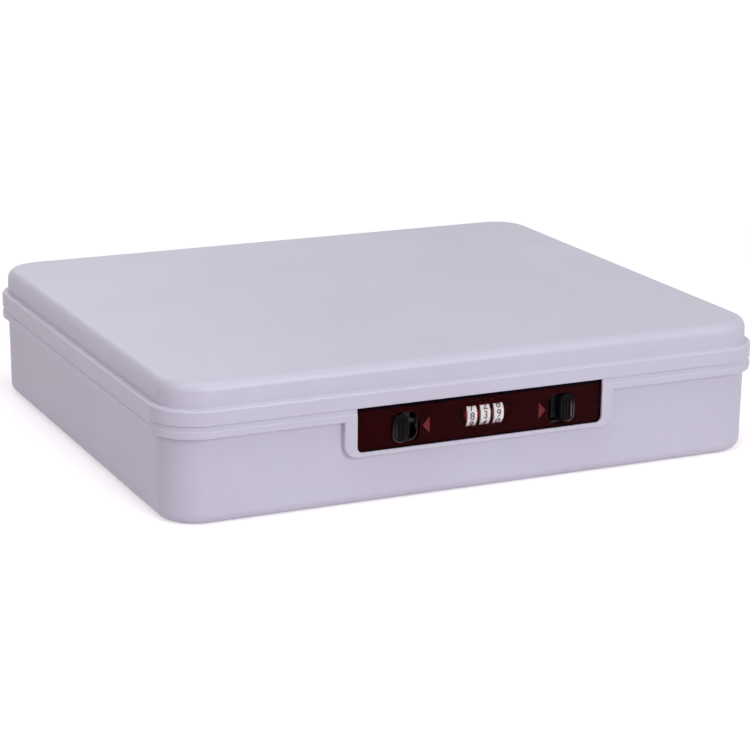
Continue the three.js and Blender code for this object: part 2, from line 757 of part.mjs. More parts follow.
// Slide latch: plate behind the button, hook tongue, and a half-round lock bar with one tooth a wheel.
// The left bar is the front half of the pair and the right bar the back half.
function makeSlide(side) {
  const at = (outward) => side * outward;
  const plate = block(
    at(latchRest - slideInner), at(latchRest + slideOuter), slideStart, slideEnd, slideBottom, slideTop,
  );
  const carrier = block(
    at(latchRest - blockInner), at(latchRest + blockInner), slideEnd - fitGap / 2, tongueEnd,
    wheelHeight - blockHeight / 2, wheelHeight + blockHeight / 2,
  );
  const tip = latchRest - tongueReach;
  const low = wheelHeight - tongueHeight / 2;
  const high = wheelHeight + tongueHeight / 2;
  const tongue = alongY(polygon([
    [at(latchRest), low], [at(tip + tongueChamfer), low], [at(tip), low + tongueChamfer],
    [at(tip), high - tongueChamfer], [at(tip + tongueChamfer), high], [at(latchRest), high],
  ]), tongueStart, tongueEnd);
  const innerTooth = -((wheelCount - 1) / 2) * wheelPitch + latchTravel / 2;
  const barStart = innerTooth - toothWidth / 2 - barEnd;
  const bar = rodX(barRadius, at(barStart), at(latchRest - fitGap), wheelDepth, wheelHeight);
  const splitFace = wheelDepth + side * (barSplit / 2);
  const otherHalf = block(
    at(barStart - overrun), at(latchRest), splitFace, splitFace - side * 2 * barRadius,
    wheelHeight - 2 * barRadius, wheelHeight + 2 * barRadius,
  );
  const teeth = wheelPlaces.map((place) => {
    const x = place + side * (latchTravel / 2);
    return block(
      x - toothWidth / 2, x + toothWidth / 2, splitFace, splitFace + side * toothDepth,
      wheelHeight - barRadius - toothHeight, wheelHeight - barRadius / 2,
    );
  });
  const pegHole = rodY(
    buttonPegRadius + fitGap, slideStart - overrun, slideEnd + fitGap / 2, at(latchRest), latchHeight,
  );
  const mouthHalf = leafTip + slideNotch;
  const notchTop = slideBottom + slideNotch;
  const mouth = slideBottom - fitGap;
  const notches = [latchRest, latchRest + latchTravel].map((place) => alongY(polygon([
    [at(place) - mouthHalf, mouth], [at(place) + mouthHalf, mouth],
    [at(place) + leafTip, notchTop], [at(place) - leafTip, notchTop],
  ]), slideStart - overrun, slideEnd + overrun));
  return cut(join(plate, carrier, tongue, cut(bar, otherHalf), ...teeth), pegHole, ...notches);
}

// Thumb button with upright grip grooves and a peg that snaps into the slide.
function makeButton(side) {
  const centre = side * latchRest;
  const half = buttonWidth / 2;
  const high = buttonHeight / 2;
  const radius = buttonCornerRadius;
  const back = slideStart - fitGap;
  const cap = alongY(
    panel(centre - half, centre + half, latchHeight - high, latchHeight + high, radius, radius),
    buttonFront, back,
  );
  const peg = rodY(buttonPegRadius, back - overrun, slideEnd - fitGap / 2, centre, latchHeight);
  const grooves = Array.from({ length: gripCount }, (_, index) => {
    const x = centre + (index - (gripCount - 1) / 2) * gripPitch;
    return block(
      x - gripGroove / 2, x + gripGroove / 2, buttonFront - overrun, buttonFront + gripGroove,
      latchHeight - gripHeight / 2, latchHeight + gripHeight / 2,
    );
  });
  return cut(join(cap, peg), ...grooves);
}

// Strike: a bent steel strip with a foot under the lid and a notch that the slide's tongue enters.
function makeStrike(side) {
  const inner = strikeOuter - strikeWidth;
  const section = new THREE.Shape();
  section.moveTo(strikeDepth, strikeBottom);
  section.lineTo(tongueEnd, strikeBottom);
  section.lineTo(tongueEnd, strikeTop - strikeThickness);
  section.lineTo(strikeDepth + strikeFootLength, strikeTop - strikeThickness);
  section.lineTo(strikeDepth + strikeFootLength, strikeTop);
  section.lineTo(strikeDepth + strikeBend, strikeTop);
  section.absarc(strikeDepth + strikeBend, strikeTop - strikeBend, strikeBend, Math.PI / 2, Math.PI, false);
  const strip = alongX(section, side * inner, side * strikeOuter);
  const notchHalf = tongueHeight / 2 + strikeGap;
  const notch = block(
    side * (strikeOuter - strikeNotch), side * (strikeOuter + overrun),
    strikeDepth - overrun, tongueEnd + overrun, wheelHeight - notchHalf, wheelHeight + notchHalf,
  );
  const holes = [strikeScrewNear, strikeScrewFar].map((back) => rodZ(
    screwHole, strikeTop - strikeThickness - overrun, strikeTop + overrun,
    side * strikeMiddle, strikeDepth + back,
  ));
  return cut(strip, notch, ...holes);
}

// Reset lever: a fork astride the lock bars that pushes the sleeves, with a tab through the cover.
function makeLever() {
  const front = wheelDepth - barHole + fitGap;
  const back = chassisEnd - leverBack;
  const fork = block(leverStart, leverEnd, front, back, wheelHeight - leverRise, wheelHeight + leverRise);
  const tab = block(
    leverStart, leverEnd, back - overrun, coverEnd + leverTabReach,
    wheelHeight - leverTabHeight / 2, wheelHeight + leverTabHeight / 2,
  );
  const throat = rodX(sleeveBoreRadius, leverStart - overrun, leverEnd + overrun, wheelDepth, wheelHeight);
  const mouth = block(
    leverStart - overrun, leverEnd + overrun, front - overrun, wheelDepth,
    wheelHeight - sleeveBoreRadius, wheelHeight + sleeveBoreRadius,
  );
  return cut(join(fork, tab), throat, mouth);
}

// Round-wire spring on the lock bars, one unbroken coil between the last sleeve and its wall.
class SpringPath extends THREE.Curve {
  getPoint(t, target = new THREE.Vector3()) {
    const radius = barHole + springWire / 2 + fitGap / 2;
    const turn = 2 * Math.PI * springTurns * t;
    const run = springStart + springWire / 2 + (springLength - springWire) * t;
    return target.set(run, wheelDepth + radius * Math.cos(turn), wheelHeight + radius * Math.sin(turn));
  }
}

function makeSpring() {
  const wire = new THREE.Shape().absarc(0, 0, springWire / 2, 0, 2 * Math.PI);
  const options = {
    steps: springTurns * springStepsPerTurn,
    extrudePath: new SpringPath(),
    bevelEnabled: false,
    curveSegments: wireSegments,
  };
  return solid(new THREE.ExtrudeGeometry(wire, options));
}

// Detent comb: a flat spring with one finger behind each wheel.
function makeComb() {
  const low = chassisFloor + fitGap;
  const base = block(-combBaseSide, combBaseSide, combStart, combEnd, low, low + combBaseHeight);
  const fingers = wheelPlaces.map((place) => block(
    place - combFinger / 2, place + combFinger / 2, combStart, combEnd,
    low + combBaseHeight / 2, low + combBaseHeight + combFingerHeight,
  ));
  return join(base, ...fingers);
}

// Latch detent: an arched leaf under the slide, whose tip meets the slide's two notches.
function makeLeaf(side) {
  const centre = side * latchRest;
  const low = chassisFloor + fitGap;
  const high = slideBottom - fitGap - leafThickness;
  const path = [
    [-leafHalfLength, low], [-leafHalfLength + leafFoot, low], [-leafTip, high],
    [leafTip, high], [leafHalfLength - leafFoot, low], [leafHalfLength, low],
  ];
  const upper = path.map(([x, z]) => [centre + x, z + leafThickness]).reverse();
  const lower = path.map(([x, z]) => [centre + x, z]);
  const middle = (slideStart + slideEnd) / 2;
  return alongY(polygon([...lower, ...upper]), middle - leafWidth / 2, middle + leafWidth / 2);
}

const plastic = new THREE.MeshStandardMaterial({ color: '#c4c1cf', roughness: 0.5, metalness: 0 });
const smoked = new THREE.MeshStandardMaterial({ color: '#2a0508', roughness: 0.12, metalness: 0 });
const darkPlastic = new THREE.MeshStandardMaterial({ color: '#1a1517', roughness: 0.6, metalness: 0 });
const blackPlastic = new THREE.MeshStandardMaterial({ color: '#100e10', roughness: 0.35, metalness: 0 });
const whitePlastic = new THREE.MeshStandardMaterial({ color: '#e6e0de', roughness: 0.4, metalness: 0 });
const steel = new THREE.MeshStandardMaterial({ color: '#a9abae', roughness: 0.35, metalness: 1 });
const springSteel = new THREE.MeshStandardMaterial({ color: '#8d9094', roughness: 0.3, metalness: 1 });
const brass = new THREE.MeshStandardMaterial({ color: '#c9a45c', roughness: 0.35, metalness: 1 });

// Each mesh has a material of its own, so that one piece can be recoloured alone.
const own = (material) => material.clone();

const lockBox = new THREE.Group();
lockBox.position.set(0, -hingeReach / 2, 0);

// Case pieces stand in the case's own middle, lock pieces behind its front face.
lockBox.add(piece('base_tray', makeTray(), own(plastic)));
lockBox.add(piece('lid_shell', makeLid(), own(plastic)));
hingeCentres.forEach((x, index) => {
  const name = index === 0 ? 'hinge_pin_left' : 'hinge_pin_right';
  lockBox.add(piece(name, makeHingePin(x, Math.sign(x)), own(steel)));
});

const front = new THREE.Group();
front.position.set(0, -caseDepth / 2, 0);
lockBox.add(front);
front.add(piece('window_lens', makeLens(), own(smoked)));
front.add(piece('lock_chassis', makeChassis(), own(darkPlastic)));
front.add(piece('lock_cover', makeCover(), own(darkPlastic)));

const chassisScrewLength = screwSeat - bossEnd + screwBite - fitGap;
const screwPlaces = [-1, 1].flatMap((side) => screwHeights.map((z) => (
  { x: side * (earHalf - bossInset), z }
)));
screwPlaces.forEach(({ x, z }, index) => {
  const screw = piece(`chassis_screw_${index + 1}`, makeScrew(chassisScrewLength), own(steel));
  screw.position.set(x, screwSeat, z);
  front.add(screw);
});

const strikeScrewLength = strikeThickness + strikeBossHeight;
strikeScrewPlaces().forEach(({ x, y }, index) => {
  const screw = piece(`strike_screw_${index + 1}`, makeScrew(strikeScrewLength), own(steel));
  screw.position.set(x, y, strikeTop - strikeThickness - fitGap);
  screw.rotation.x = -Math.PI / 2;
  front.add(screw);
});

const lock = new THREE.Group();
lock.position.set(lockOffset, 0, 0);
front.add(lock);
wheelPlaces.forEach((place, index) => {
  const wheel = piece(`number_wheel_${index + 1}`, makeWheel(), own(whitePlastic));
  wheel.position.set(place, wheelDepth, wheelHeight);
  const sleeve = piece(`code_sleeve_${index + 1}`, makeSleeve(), own(brass));
  sleeve.position.copy(wheel.position);
  lock.add(wheel, sleeve);
});
lock.add(piece('reset_lever', makeLever(), own(steel)));
lock.add(piece('sleeve_spring', makeSpring(), own(springSteel)));
lock.add(piece('dial_detent', makeComb(), own(springSteel)));
for (const [side, word] of [[-1, 'left'], [1, 'right']]) {
  lock.add(piece(`latch_slide_${word}`, makeSlide(side), own(steel)));
  lock.add(piece(`latch_button_${word}`, makeButton(side), own(blackPlastic)));
  lock.add(piece(`latch_detent_${word}`, makeLeaf(side), own(springSteel)));
  lock.add(piece(`strike_${word}`, makeStrike(side), own(steel)));
}

export default lockBox;
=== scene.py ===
import json
import math

import bmesh
import bpy
from mathutils import Matrix, Vector


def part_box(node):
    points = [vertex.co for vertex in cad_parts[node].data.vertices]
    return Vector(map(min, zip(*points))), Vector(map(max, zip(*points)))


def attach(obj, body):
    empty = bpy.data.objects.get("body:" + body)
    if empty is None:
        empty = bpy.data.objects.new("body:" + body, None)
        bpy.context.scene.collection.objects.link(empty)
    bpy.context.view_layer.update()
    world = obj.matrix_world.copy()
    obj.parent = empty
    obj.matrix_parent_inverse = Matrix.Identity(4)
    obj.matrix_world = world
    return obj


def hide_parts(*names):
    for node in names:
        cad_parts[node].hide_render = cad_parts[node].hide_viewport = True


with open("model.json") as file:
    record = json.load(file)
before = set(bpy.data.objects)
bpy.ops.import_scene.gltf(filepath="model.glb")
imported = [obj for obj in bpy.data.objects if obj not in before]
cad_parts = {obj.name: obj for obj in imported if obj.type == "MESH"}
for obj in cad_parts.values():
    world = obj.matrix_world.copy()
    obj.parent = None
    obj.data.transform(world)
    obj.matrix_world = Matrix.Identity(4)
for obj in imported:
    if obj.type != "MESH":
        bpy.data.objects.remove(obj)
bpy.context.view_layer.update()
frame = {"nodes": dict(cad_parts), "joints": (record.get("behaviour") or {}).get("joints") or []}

mm = 0.001
quarterTurn = math.pi / 2
# Small lengths: how far solids overlap, how near to a face counts as on it, a hair's breadth
spare = 1 * mm
nearby = 0.1 * mm
sliver = 0.01 * mm
beyond = 20 * mm

# Where things are, from the frame
trayLow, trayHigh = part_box("base_tray")
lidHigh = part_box("lid_shell")[1]
lensLow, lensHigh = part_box("window_lens")
hinge = next(joint for joint in frame["joints"] if joint["name"] == "lid_hinge")
hingeAxis = Vector(hinge["pos_m"])
front = trayLow.y


def middle(box):
    return (box[0] + box[1]) / 2


def placed(name, data):
    piece = bpy.data.objects.new(name, data)
    bpy.context.scene.collection.objects.link(piece)
    return piece


# Camera

cameraSettings = {
    "target": (10.47 * mm, -9.3 * mm, 22.76 * mm),
    "azimuth": -25.265,
    "elevation": 15.624,
    "roll": 0.644,
    "distance": 1278.2 * mm,
    "lens": 116.93,
    "shift": (-0.01419, -0.00015),
}


def makeCamera(settings):
    azimuth = math.radians(settings["azimuth"])
    elevation = math.radians(settings["elevation"])
    back = Vector((
        math.sin(azimuth) * math.cos(elevation),
        -math.cos(azimuth) * math.cos(elevation),
        math.sin(elevation),
    ))
    right = Vector((0, 0, 1)).cross(back).normalized()
    up = back.cross(right)
    turn = Matrix((right, up, back)).transposed().to_4x4()
    roll = Matrix.Rotation(math.radians(settings["roll"]), 4, "Z")
    place = Matrix.Translation(Vector(settings["target"]) + back * settings["distance"])
    data = bpy.data.cameras.new("photoCamera")
    data.sensor_width = 36
    data.lens = settings["lens"]
    data.shift_x, data.shift_y = settings["shift"]
    data.clip_start = 0.05
    data.clip_end = 20
    camera = placed("photoCamera", data)
    camera.matrix_world = place @ turn @ roll
    bpy.context.scene.camera = camera


makeCamera(cameraSettings)
print("camera placed")


# Mesh helpers

def welded(bm, apart):
    bmesh.ops.remove_doubles(bm, verts=bm.verts, dist=apart)


def bevelled(bm, geom, width, segments, affect, **options):
    return bmesh.ops.bevel(
        bm, geom=geom, offset=width, offset_type="OFFSET", segments=segments, profile=0.5,
        affect=affect, material=-1, **options,
    )["faces"]


# A flat face with rounded corners, lying in XY at a height or standing in XZ at a depth
def roundedFace(bm, low, high, lowRadius, highRadius, steps, plane="XY", place=0.0):
    verts = bmesh.ops.create_grid(bm, x_segments=1, y_segments=1, size=1)["verts"]
    half = ((high[0] - low[0]) / 2, (high[1] - low[1]) / 2)
    centre = ((high[0] + low[0]) / 2, (high[1] + low[1]) / 2)
    bmesh.ops.scale(bm, vec=(half[0], half[1], 1), verts=verts)
    bmesh.ops.translate(bm, vec=(centre[0], centre[1], 0), verts=verts)
    face = verts[0].link_faces[0]
    for radius, chosen in (
        (lowRadius, [v for v in verts if v.co.y < centre[1]]),
        (highRadius, [v for v in verts if v.co.y > centre[1]]),
    ):
        if radius > 0:
            kept = [v for v in face.verts if v not in chosen]
            bevelled(bm, chosen, radius, steps, "VERTICES")
            face = kept[0].link_faces[0]
    verts = list(face.verts)
    if plane == "XZ":
        bmesh.ops.rotate(bm, verts=verts, matrix=Matrix.Rotation(quarterTurn, 3, "X"))
        bmesh.ops.translate(bm, vec=(0, place, 0), verts=verts)
    else:
        bmesh.ops.translate(bm, vec=(0, 0, place), verts=verts)
    return face


# Gives flat faces thickness, by a copy of them moved along
def thickened(bm, faces, along):
    grown = bmesh.ops.extrude_face_region(bm, geom=faces, use_keep_orig=True)
    verts = [item for item in grown["geom"] if isinstance(item, bmesh.types.BMVert)]
    bmesh.ops.translate(bm, vec=along, verts=verts)
    bmesh.ops.recalc_face_normals(bm, faces=bm.faces)
    return bm


# A rounded panel standing in XZ, as thick as from one depth to the other
def panelSolid(low, high, lowRadius, highRadius, depths, steps=10):
    bm = bmesh.new()
    face = roundedFace(bm, low, high, lowRadius, highRadius, steps, "XZ", depths[0])
    return thickened(bm, [face], (0, depths[1] - depths[0], 0))


def boxSolid(low, high):
    bm = bmesh.new()
    low, high = Vector(low), Vector(high)
    place = Matrix.Translation((low + high) / 2) @ Matrix.Diagonal((high - low)).to_4x4()
    bmesh.ops.create_cube(bm, size=1, matrix=place)
    return bm


# A round rod between two points
def rodSolid(radius, start, end, sides):
    start, end = Vector(start), Vector(end)
    along = end - start
    turn = along.to_track_quat("Z", "Y").to_matrix().to_4x4()
    bm = bmesh.new()
    bmesh.ops.create_cone(
        bm, cap_ends=True, segments=sides, radius1=radius, radius2=radius, depth=along.length,
        matrix=Matrix.Translation((start + end) / 2) @ turn,
    )
    return bm


# A solid turned about an axis, from pairs of radius and distance along it
def turnedSolid(profile, base, axis, steps):
    bm = bmesh.new()
    verts = [bm.verts.new((radius, 0, along)) for radius, along in profile]
    edges = [bm.edges.new(pair) for pair in zip(verts, verts[1:])]
    bmesh.ops.spin(
        bm, geom=verts + edges, cent=(0, 0, 0), axis=(0, 0, 1), angle=2 * math.pi,
        steps=steps, use_merge=True,
    )
    welded(bm, 0.0005 * mm)
    turn = Vector(axis).to_track_quat("Z", "Y").to_matrix().to_4x4()
    bmesh.ops.transform(bm, matrix=Matrix.Translation(base) @ turn, verts=bm.verts)
    bmesh.ops.recalc_face_normals(bm, faces=bm.faces)
    return bm


# A prism along X from a few corners given as depth and height
def prismSolid(points, spanX):
    bm = bmesh.new()
    corners = [bm.verts.new((spanX[0], depth, height)) for depth, height in points]
    return thickened(bm, [bm.faces.new(corners)], (spanX[1] - spanX[0], 0, 0))


# Rounds the corners of a profile given as inset, height and radius
def filleted(corners, steps):
    points = [Vector(corners[0][:2])]
    for before, corner, after in zip(corners, corners[1:], corners[2:]):
        at = Vector(corner[:2])
        radius = corner[2]
        if radius == 0:
            points.append(at)
            continue
        u = (Vector(before[:2]) - at).normalized()
        v = (Vector(after[:2]) - at).normalized()
        half = u.angle(v) / 2
        centre = at + (u + v).normalized() * (radius / math.sin(half))
        reach = radius / math.tan(half)
        first = at + u * reach - centre
        last = at + v * reach - centre
        sweep = first.angle_signed(last)
        for step in range(steps + 1):
            turned = first.copy()
            turned.rotate(Matrix.Rotation(-sweep * step / steps, 2))
            points.append(centre + turned)
    points.append(Vector(corners[-1][:2]))
    return points


# Skins the case outline, drawn in by each inset and lifted to each height of the profile
def shellSolid(profile, steps, innerCorner):
    bm = bmesh.new()
    centreY = front + caseShape["depth"] / 2
    rings = []
    faces = []
    for inset, height in profile:
        low = (-caseShape["width"] / 2 + inset, front + inset)
        high = (caseShape["width"] / 2 - inset, front + caseShape["depth"] - inset)
        radius = max(caseShape["corner"] - inset, innerCorner)
        face = roundedFace(bm, low, high, radius, radius, steps, "XY", height)
        faces.append(face)
        rings.append(sorted(face.verts, key=lambda vert: math.atan2(vert.co.y - centreY, vert.co.x)))
    bmesh.ops.delete(bm, geom=faces[1:-1], context="FACES_ONLY")
    for lower, upper in zip(rings, rings[1:]):
        for a, b, c, d in zip(lower, lower[1:] + lower[:1], upper[1:] + upper[:1], upper):
            bm.faces.new((a, b, c, d))
    bmesh.ops.recalc_face_normals(bm, faces=bm.faces)
    return bm


def asObject(bm, name):
    mesh = bpy.data.meshes.new(name)
    bm.to_mesh(mesh)
    bm.free()
    return placed(name, mesh)


# Cuts other solids from a base, or joins them to it
def combined(base, others, operation="DIFFERENCE"):
    first = asObject(base, "base")
    helpers = []
    for other in others:
        helper = asObject(other, "helper")
        helpers.append(helper)
        step = first.modifiers.new("step", "BOOLEAN")
        step.object = helper
        step.operation = operation
        step.solver = "EXACT"
    graph = bpy.context.evaluated_depsgraph_get()
    mesh = bpy.data.meshes.new_from_object(first.evaluated_get(graph))
    result = bmesh.new()
    result.from_mesh(mesh)
    for helper in [first, *helpers]:
        bpy.data.objects.remove(helper)
    welded(result, 0.002 * mm)
    return result


# Rounds the edges that are sharper than an angle, all of them or the chosen ones
def softened(bm, width, angle=38, segments=2, chosen=None):
    bmesh.ops.dissolve_limit(bm, angle_limit=math.radians(0.3), verts=bm.verts, edges=bm.edges)
    sharp = [
        edge for edge in bm.edges
        if len(edge.link_faces) == 2
        and edge.calc_face_angle(0) > math.radians(angle)
        and (chosen is None or chosen((edge.verts[0].co + edge.verts[1].co) / 2))
    ]
    if sharp:
        bevelled(bm, sharp, width, segments, "EDGES", loop_slide=True)
    welded(bm, 0.001 * mm)
    return bm


# Stores on each point how tightly the surface bends outward there, for the lighter edges: wear, and on the
# case and buttons painted highlight
def markEdges(bm, fullRadius=0.6 * mm):
    layer = bm.verts.layers.float.new("edgeBend")
    for vert in bm.verts:
        bend = 0
        for edge in vert.link_edges:
            if len(edge.link_faces) == 2 and edge.is_convex:
                length = max(edge.calc_length(), 1e-6)
                reach = sum(face.calc_area() / length for face in edge.link_faces) / 2
                bend = max(bend, edge.calc_face_angle(0) * fullRadius / max(reach, fullRadius / 6))
        vert[layer] = min(1, bend)


# Makes the finished piece: merged, smooth but for its sharp edges, and riding on its body
def finished(bm, name, material, body, replaces=(), smoothAngle=32):
    welded(bm, 0.0005 * mm)
    bmesh.ops.recalc_face_normals(bm, faces=bm.faces)
    markEdges(bm)
    for face in bm.faces:
        face.smooth = True
    piece = asObject(bm, name)
    piece.data.set_sharp_from_angle(angle=math.radians(smoothAngle))
    weighted = piece.modifiers.new("weighted", "WEIGHTED_NORMAL")
    weighted.keep_sharp = True
    piece.data.materials.append(material)
    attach(piece, body)
    if replaces:
        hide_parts(*replaces)
    return piece


# A merged copy of a frame node's mesh, its own mesh being left alone
def nodeCopy(node):
    bm = bmesh.new()
    bm.from_mesh(frame["nodes"][node].data)
    welded(bm, 0.002 * mm)
    return bm


# Materials

materialSettings = {
    # The case's lighter edge colour is partly a painted highlight along its rounded edges
    "casePlastic": {
        "pale": (0.577, 0.56, 0.67), "deep": (0.557, 0.53, 0.645), "edge": (0.65, 0.64, 0.74),
        "roughness": 0.42, "wearAndHighlight": 0.35, "gloss": 0.6,
    },
    "smokedAcrylic": {
        "tint": (0.3, 0.014, 0.022), "mirror": (0.17, 0.02, 0.03), "roughness": 0.05,
        # The shade tint, mirror and band paint shade onto the lens's edges, deepest along the top
        "paintedShadeTint": (0.05, 0.004, 0.016), "paintedShadeMirror": (0.03, 0.004, 0.05), "soft": 0.35 * mm,
        "paintedShadeBand": {"left": 1.1 * mm, "right": 0.4 * mm, "top": 1.6 * mm, "bottom": 0.8 * mm},
    },
    "darkPlastic": {
        "pale": (0.11, 0.095, 0.1), "deep": (0.08, 0.068, 0.072), "edge": (0.15, 0.13, 0.14),
        "roughness": 0.52, "gloss": 0.3,
    },
    # The buttons' pale edge colour is a painted glint on their rims
    "buttonPlastic": {
        "pale": (0.0045, 0.0035, 0.005), "deep": (0.003, 0.0025, 0.0035), "edge": (0.22, 0.18, 0.18),
        "roughness": 0.38, "bump": 0.05, "wearAndHighlight": 1, "gloss": 0.05,
    },
    "wheelPlastic": {
        "pale": (0.82, 0.77, 0.77), "deep": (0.7, 0.62, 0.63), "edge": (0.92, 0.89, 0.89),
        # side: the wheels' side faces painted darker, as shade between neighbouring wheels
        "side": (0.2, 0.15, 0.16), "roughness": 0.36, "grain": 2600, "drift": 120, "bump": 0.05,
    },
    "digitPaint": {
        "pale": (0.1, 0.08, 0.085), "deep": (0.06, 0.05, 0.055), "edge": (0.14, 0.12, 0.13),
        "roughness": 0.5, "grain": 3000, "drift": 300, "bump": 0.04,
    },
    "arrowPaint": {
        "pale": (0.15, 0.016, 0.022), "deep": (0.11, 0.01, 0.014), "edge": (0.18, 0.03, 0.035),
        "roughness": 0.5, "grain": 3000, "drift": 300, "bump": 0.04, "gloss": 0.1,
    },
    "platedSteel": {
        "pale": (0.36, 0.365, 0.38), "deep": (0.22, 0.225, 0.24), "edge": (0.5, 0.505, 0.52),
        "roughness": 0.3,
    },
    "blackenedSteel": {
        "pale": (0.022, 0.022, 0.025), "deep": (0.012, 0.012, 0.014), "edge": (0.07, 0.07, 0.075),
        "roughness": 0.42,
    },
    "springSteel": {
        "pale": (0.38, 0.385, 0.4), "deep": (0.24, 0.245, 0.26), "edge": (0.52, 0.52, 0.54),
        "roughness": 0.28, "stretch": (30, 30, 2),
    },
    "turnedBrass": {
        "pale": (0.6, 0.43, 0.19), "deep": (0.44, 0.29, 0.12), "edge": (0.7, 0.54, 0.29),
        "roughness": 0.32, "stretch": (60, 2, 2),
    },
}
plasticUsual = {"grain": 1800, "drift": 14, "bump": 0.12, "wearAndHighlight": 0.6, "gloss": 0.5}
metalUsual = {"stretch": (1, 40, 40), "brush": 260, "bump": 0.08}


def newGroup(name, inputs, outputs):
    group = bpy.data.node_groups.new(name, "ShaderNodeTree")
    for label, value in inputs.items():
        socket = group.interface.new_socket(name=label, in_out="INPUT", socket_type="NodeSocketFloat")
        socket.default_value = value
    for label in outputs:
        group.interface.new_socket(name=label, in_out="OUTPUT", socket_type="NodeSocketFloat")
    return group, group.nodes.new("NodeGroupInput"), group.nodes.new("NodeGroupOutput")


# Sets a node's inputs, each to a value or from another node's output
def feed(tree, node, values):
    for label, value in values.items():
        socket = node.inputs[label]
        if isinstance(value, bpy.types.NodeSocket):
            tree.links.new(value, socket)
        elif socket.type == "RGBA":
            socket.default_value = (*value, 1)
        else:
            socket.default_value = value
    return node


def nodeWith(tree, kind, values=None, **options):
    node = tree.nodes.new("ShaderNode" + kind)
    for option, value in options.items():
        setattr(node, option, value)
    return feed(tree, node, values or {})


def objectPlace(tree):
    return nodeWith(tree, "TexCoord").outputs["Object"]


def calculated(tree, operation, first, second, **options):
    return nodeWith(tree, "Math", {0: first, 1: second}, operation=operation, **options).outputs[0]


# Maps a value from one range to another
def mapped(tree, value, fromLow, fromHigh, toLow=0, toHigh=1):
    return nodeWith(tree, "MapRange", {
        "Value": value, "From Min": fromLow, "From Max": fromHigh, "To Min": toLow, "To Max": toHigh,
    }).outputs["Result"]


# Moulded grain: a fine height, and a tone that drifts slowly over the piece
def makeGrainGroup():
    group, entry, leave = newGroup(
        "mouldGrain", {"Grain Scale": 1800, "Drift Scale": 14}, ["Height", "Tone", "Fine"],
    )
    place = objectPlace(group)
    scale = entry.outputs["Grain Scale"]
    fine = nodeWith(group, "TexNoise", {"Vector": place, "Scale": scale, "Detail": 3, "Roughness": 0.6})
    pits = nodeWith(
        group, "TexVoronoi", {"Vector": place, "Scale": scale, "Randomness": 1}, feature="SMOOTH_F1",
    )
    drift = nodeWith(group, "TexNoise", {
        "Vector": place, "Scale": entry.outputs["Drift Scale"],
        "Detail": 4, "Roughness": 0.5, "Distortion": 0.6,
    })
    feed(group, leave, {
        "Height": calculated(group, "ADD", fine.outputs["Fac"], pits.outputs["Distance"]),
        "Tone": drift.outputs["Fac"],
        "Fine": fine.outputs["Fac"],
    })
    return group


# Lighter edges, partly handling wear and partly painted highlight: a mask along the edges that bend outward,
# broken up by noise
def makeEdgeGroup():
    group, entry, leave = newGroup("edgeWearAndHighlight", {"Amount": 0.6, "Breakup Scale": 220}, ["Mask"])
    bend = nodeWith(group, "Attribute", attribute_name="edgeBend").outputs["Fac"]
    noise = nodeWith(group, "TexNoise", {
        "Vector": objectPlace(group), "Scale": entry.outputs["Breakup Scale"], "Detail": 4, "Roughness": 0.65,
    })
    spread = mapped(group, noise.outputs["Fac"], 0.32, 0.62, 0.35, 1)
    broken = calculated(group, "MULTIPLY", bend, spread)
    feed(group, leave, {
        "Mask": calculated(group, "MULTIPLY", broken, entry.outputs["Amount"], use_clamp=True),
    })
    return group


grainGroup = makeGrainGroup()
edgeGroup = makeEdgeGroup()


def newMaterial(name):
    material = bpy.data.materials.new(name)
    material.use_nodes = True
    tree = material.node_tree
    return material, tree, tree.nodes["Principled BSDF"]


# A colour between two, each a tuple or another node's colour, as a mask says
def mixedColour(tree, mask, first, second):
    return nodeWith(tree, "Mix", {"Factor": mask, 6: first, 7: second}, data_type="RGBA").outputs[2]


def plasticMaterial(name):
    s = {**plasticUsual, **materialSettings[name]}
    material, tree, shader = newMaterial(name)
    scales = {"Grain Scale": s["grain"], "Drift Scale": s["drift"]}
    surface = nodeWith(tree, "Group", scales, node_tree=grainGroup)
    edge = nodeWith(tree, "Group", {"Amount": s["wearAndHighlight"]}, node_tree=edgeGroup).outputs["Mask"]
    body = mixedColour(tree, mapped(tree, surface.outputs["Tone"], 0.3, 0.7), s["deep"], s["pale"])
    # Faces marked as shaded sides take the darker side colour: painted shade
    if "side" in s:
        side = nodeWith(tree, "Attribute", attribute_name="sideFace").outputs["Fac"]
        body = mixedColour(tree, side, body, s["side"])
    rough = s["roughness"]
    lift = nodeWith(tree, "Bump", {
        "Height": surface.outputs["Height"], "Strength": s["bump"], "Distance": 0.08 * mm,
    })
    feed(tree, shader, {
        "Base Color": mixedColour(tree, edge, body, s["edge"]),
        "Roughness": mapped(tree, surface.outputs["Fine"], 0.25, 0.75, rough - 0.05, rough + 0.07),
        "Normal": lift.outputs["Normal"],
        "Specular IOR Level": s["gloss"],
    })
    return material


# Drawn or plated metal: fine lines along the piece, with a slow change of tone
def metalMaterial(name):
    s = {**metalUsual, **materialSettings[name]}
    material, tree, shader = newMaterial(name)
    along = nodeWith(tree, "Mapping", {"Vector": objectPlace(tree), "Scale": s["stretch"]})
    lines = nodeWith(tree, "TexNoise", {
        "Vector": along.outputs["Vector"], "Scale": s["brush"], "Detail": 5, "Roughness": 0.6,
    }).outputs["Fac"]
    edge = nodeWith(tree, "Group", node_tree=edgeGroup).outputs["Mask"]
    rough = s["roughness"]
    lift = nodeWith(tree, "Bump", {"Height": lines, "Strength": s["bump"], "Distance": 0.03 * mm})
    feed(tree, shader, {
        "Base Color": mixedColour(tree, edge, mixedColour(tree, lines, s["deep"], s["pale"]), s["edge"]),
        "Roughness": mapped(tree, lines, 0.3, 0.7, rough - 0.08, rough + 0.1),
        "Normal": lift.outputs["Normal"],
        "Metallic": 1,
    })
    return material
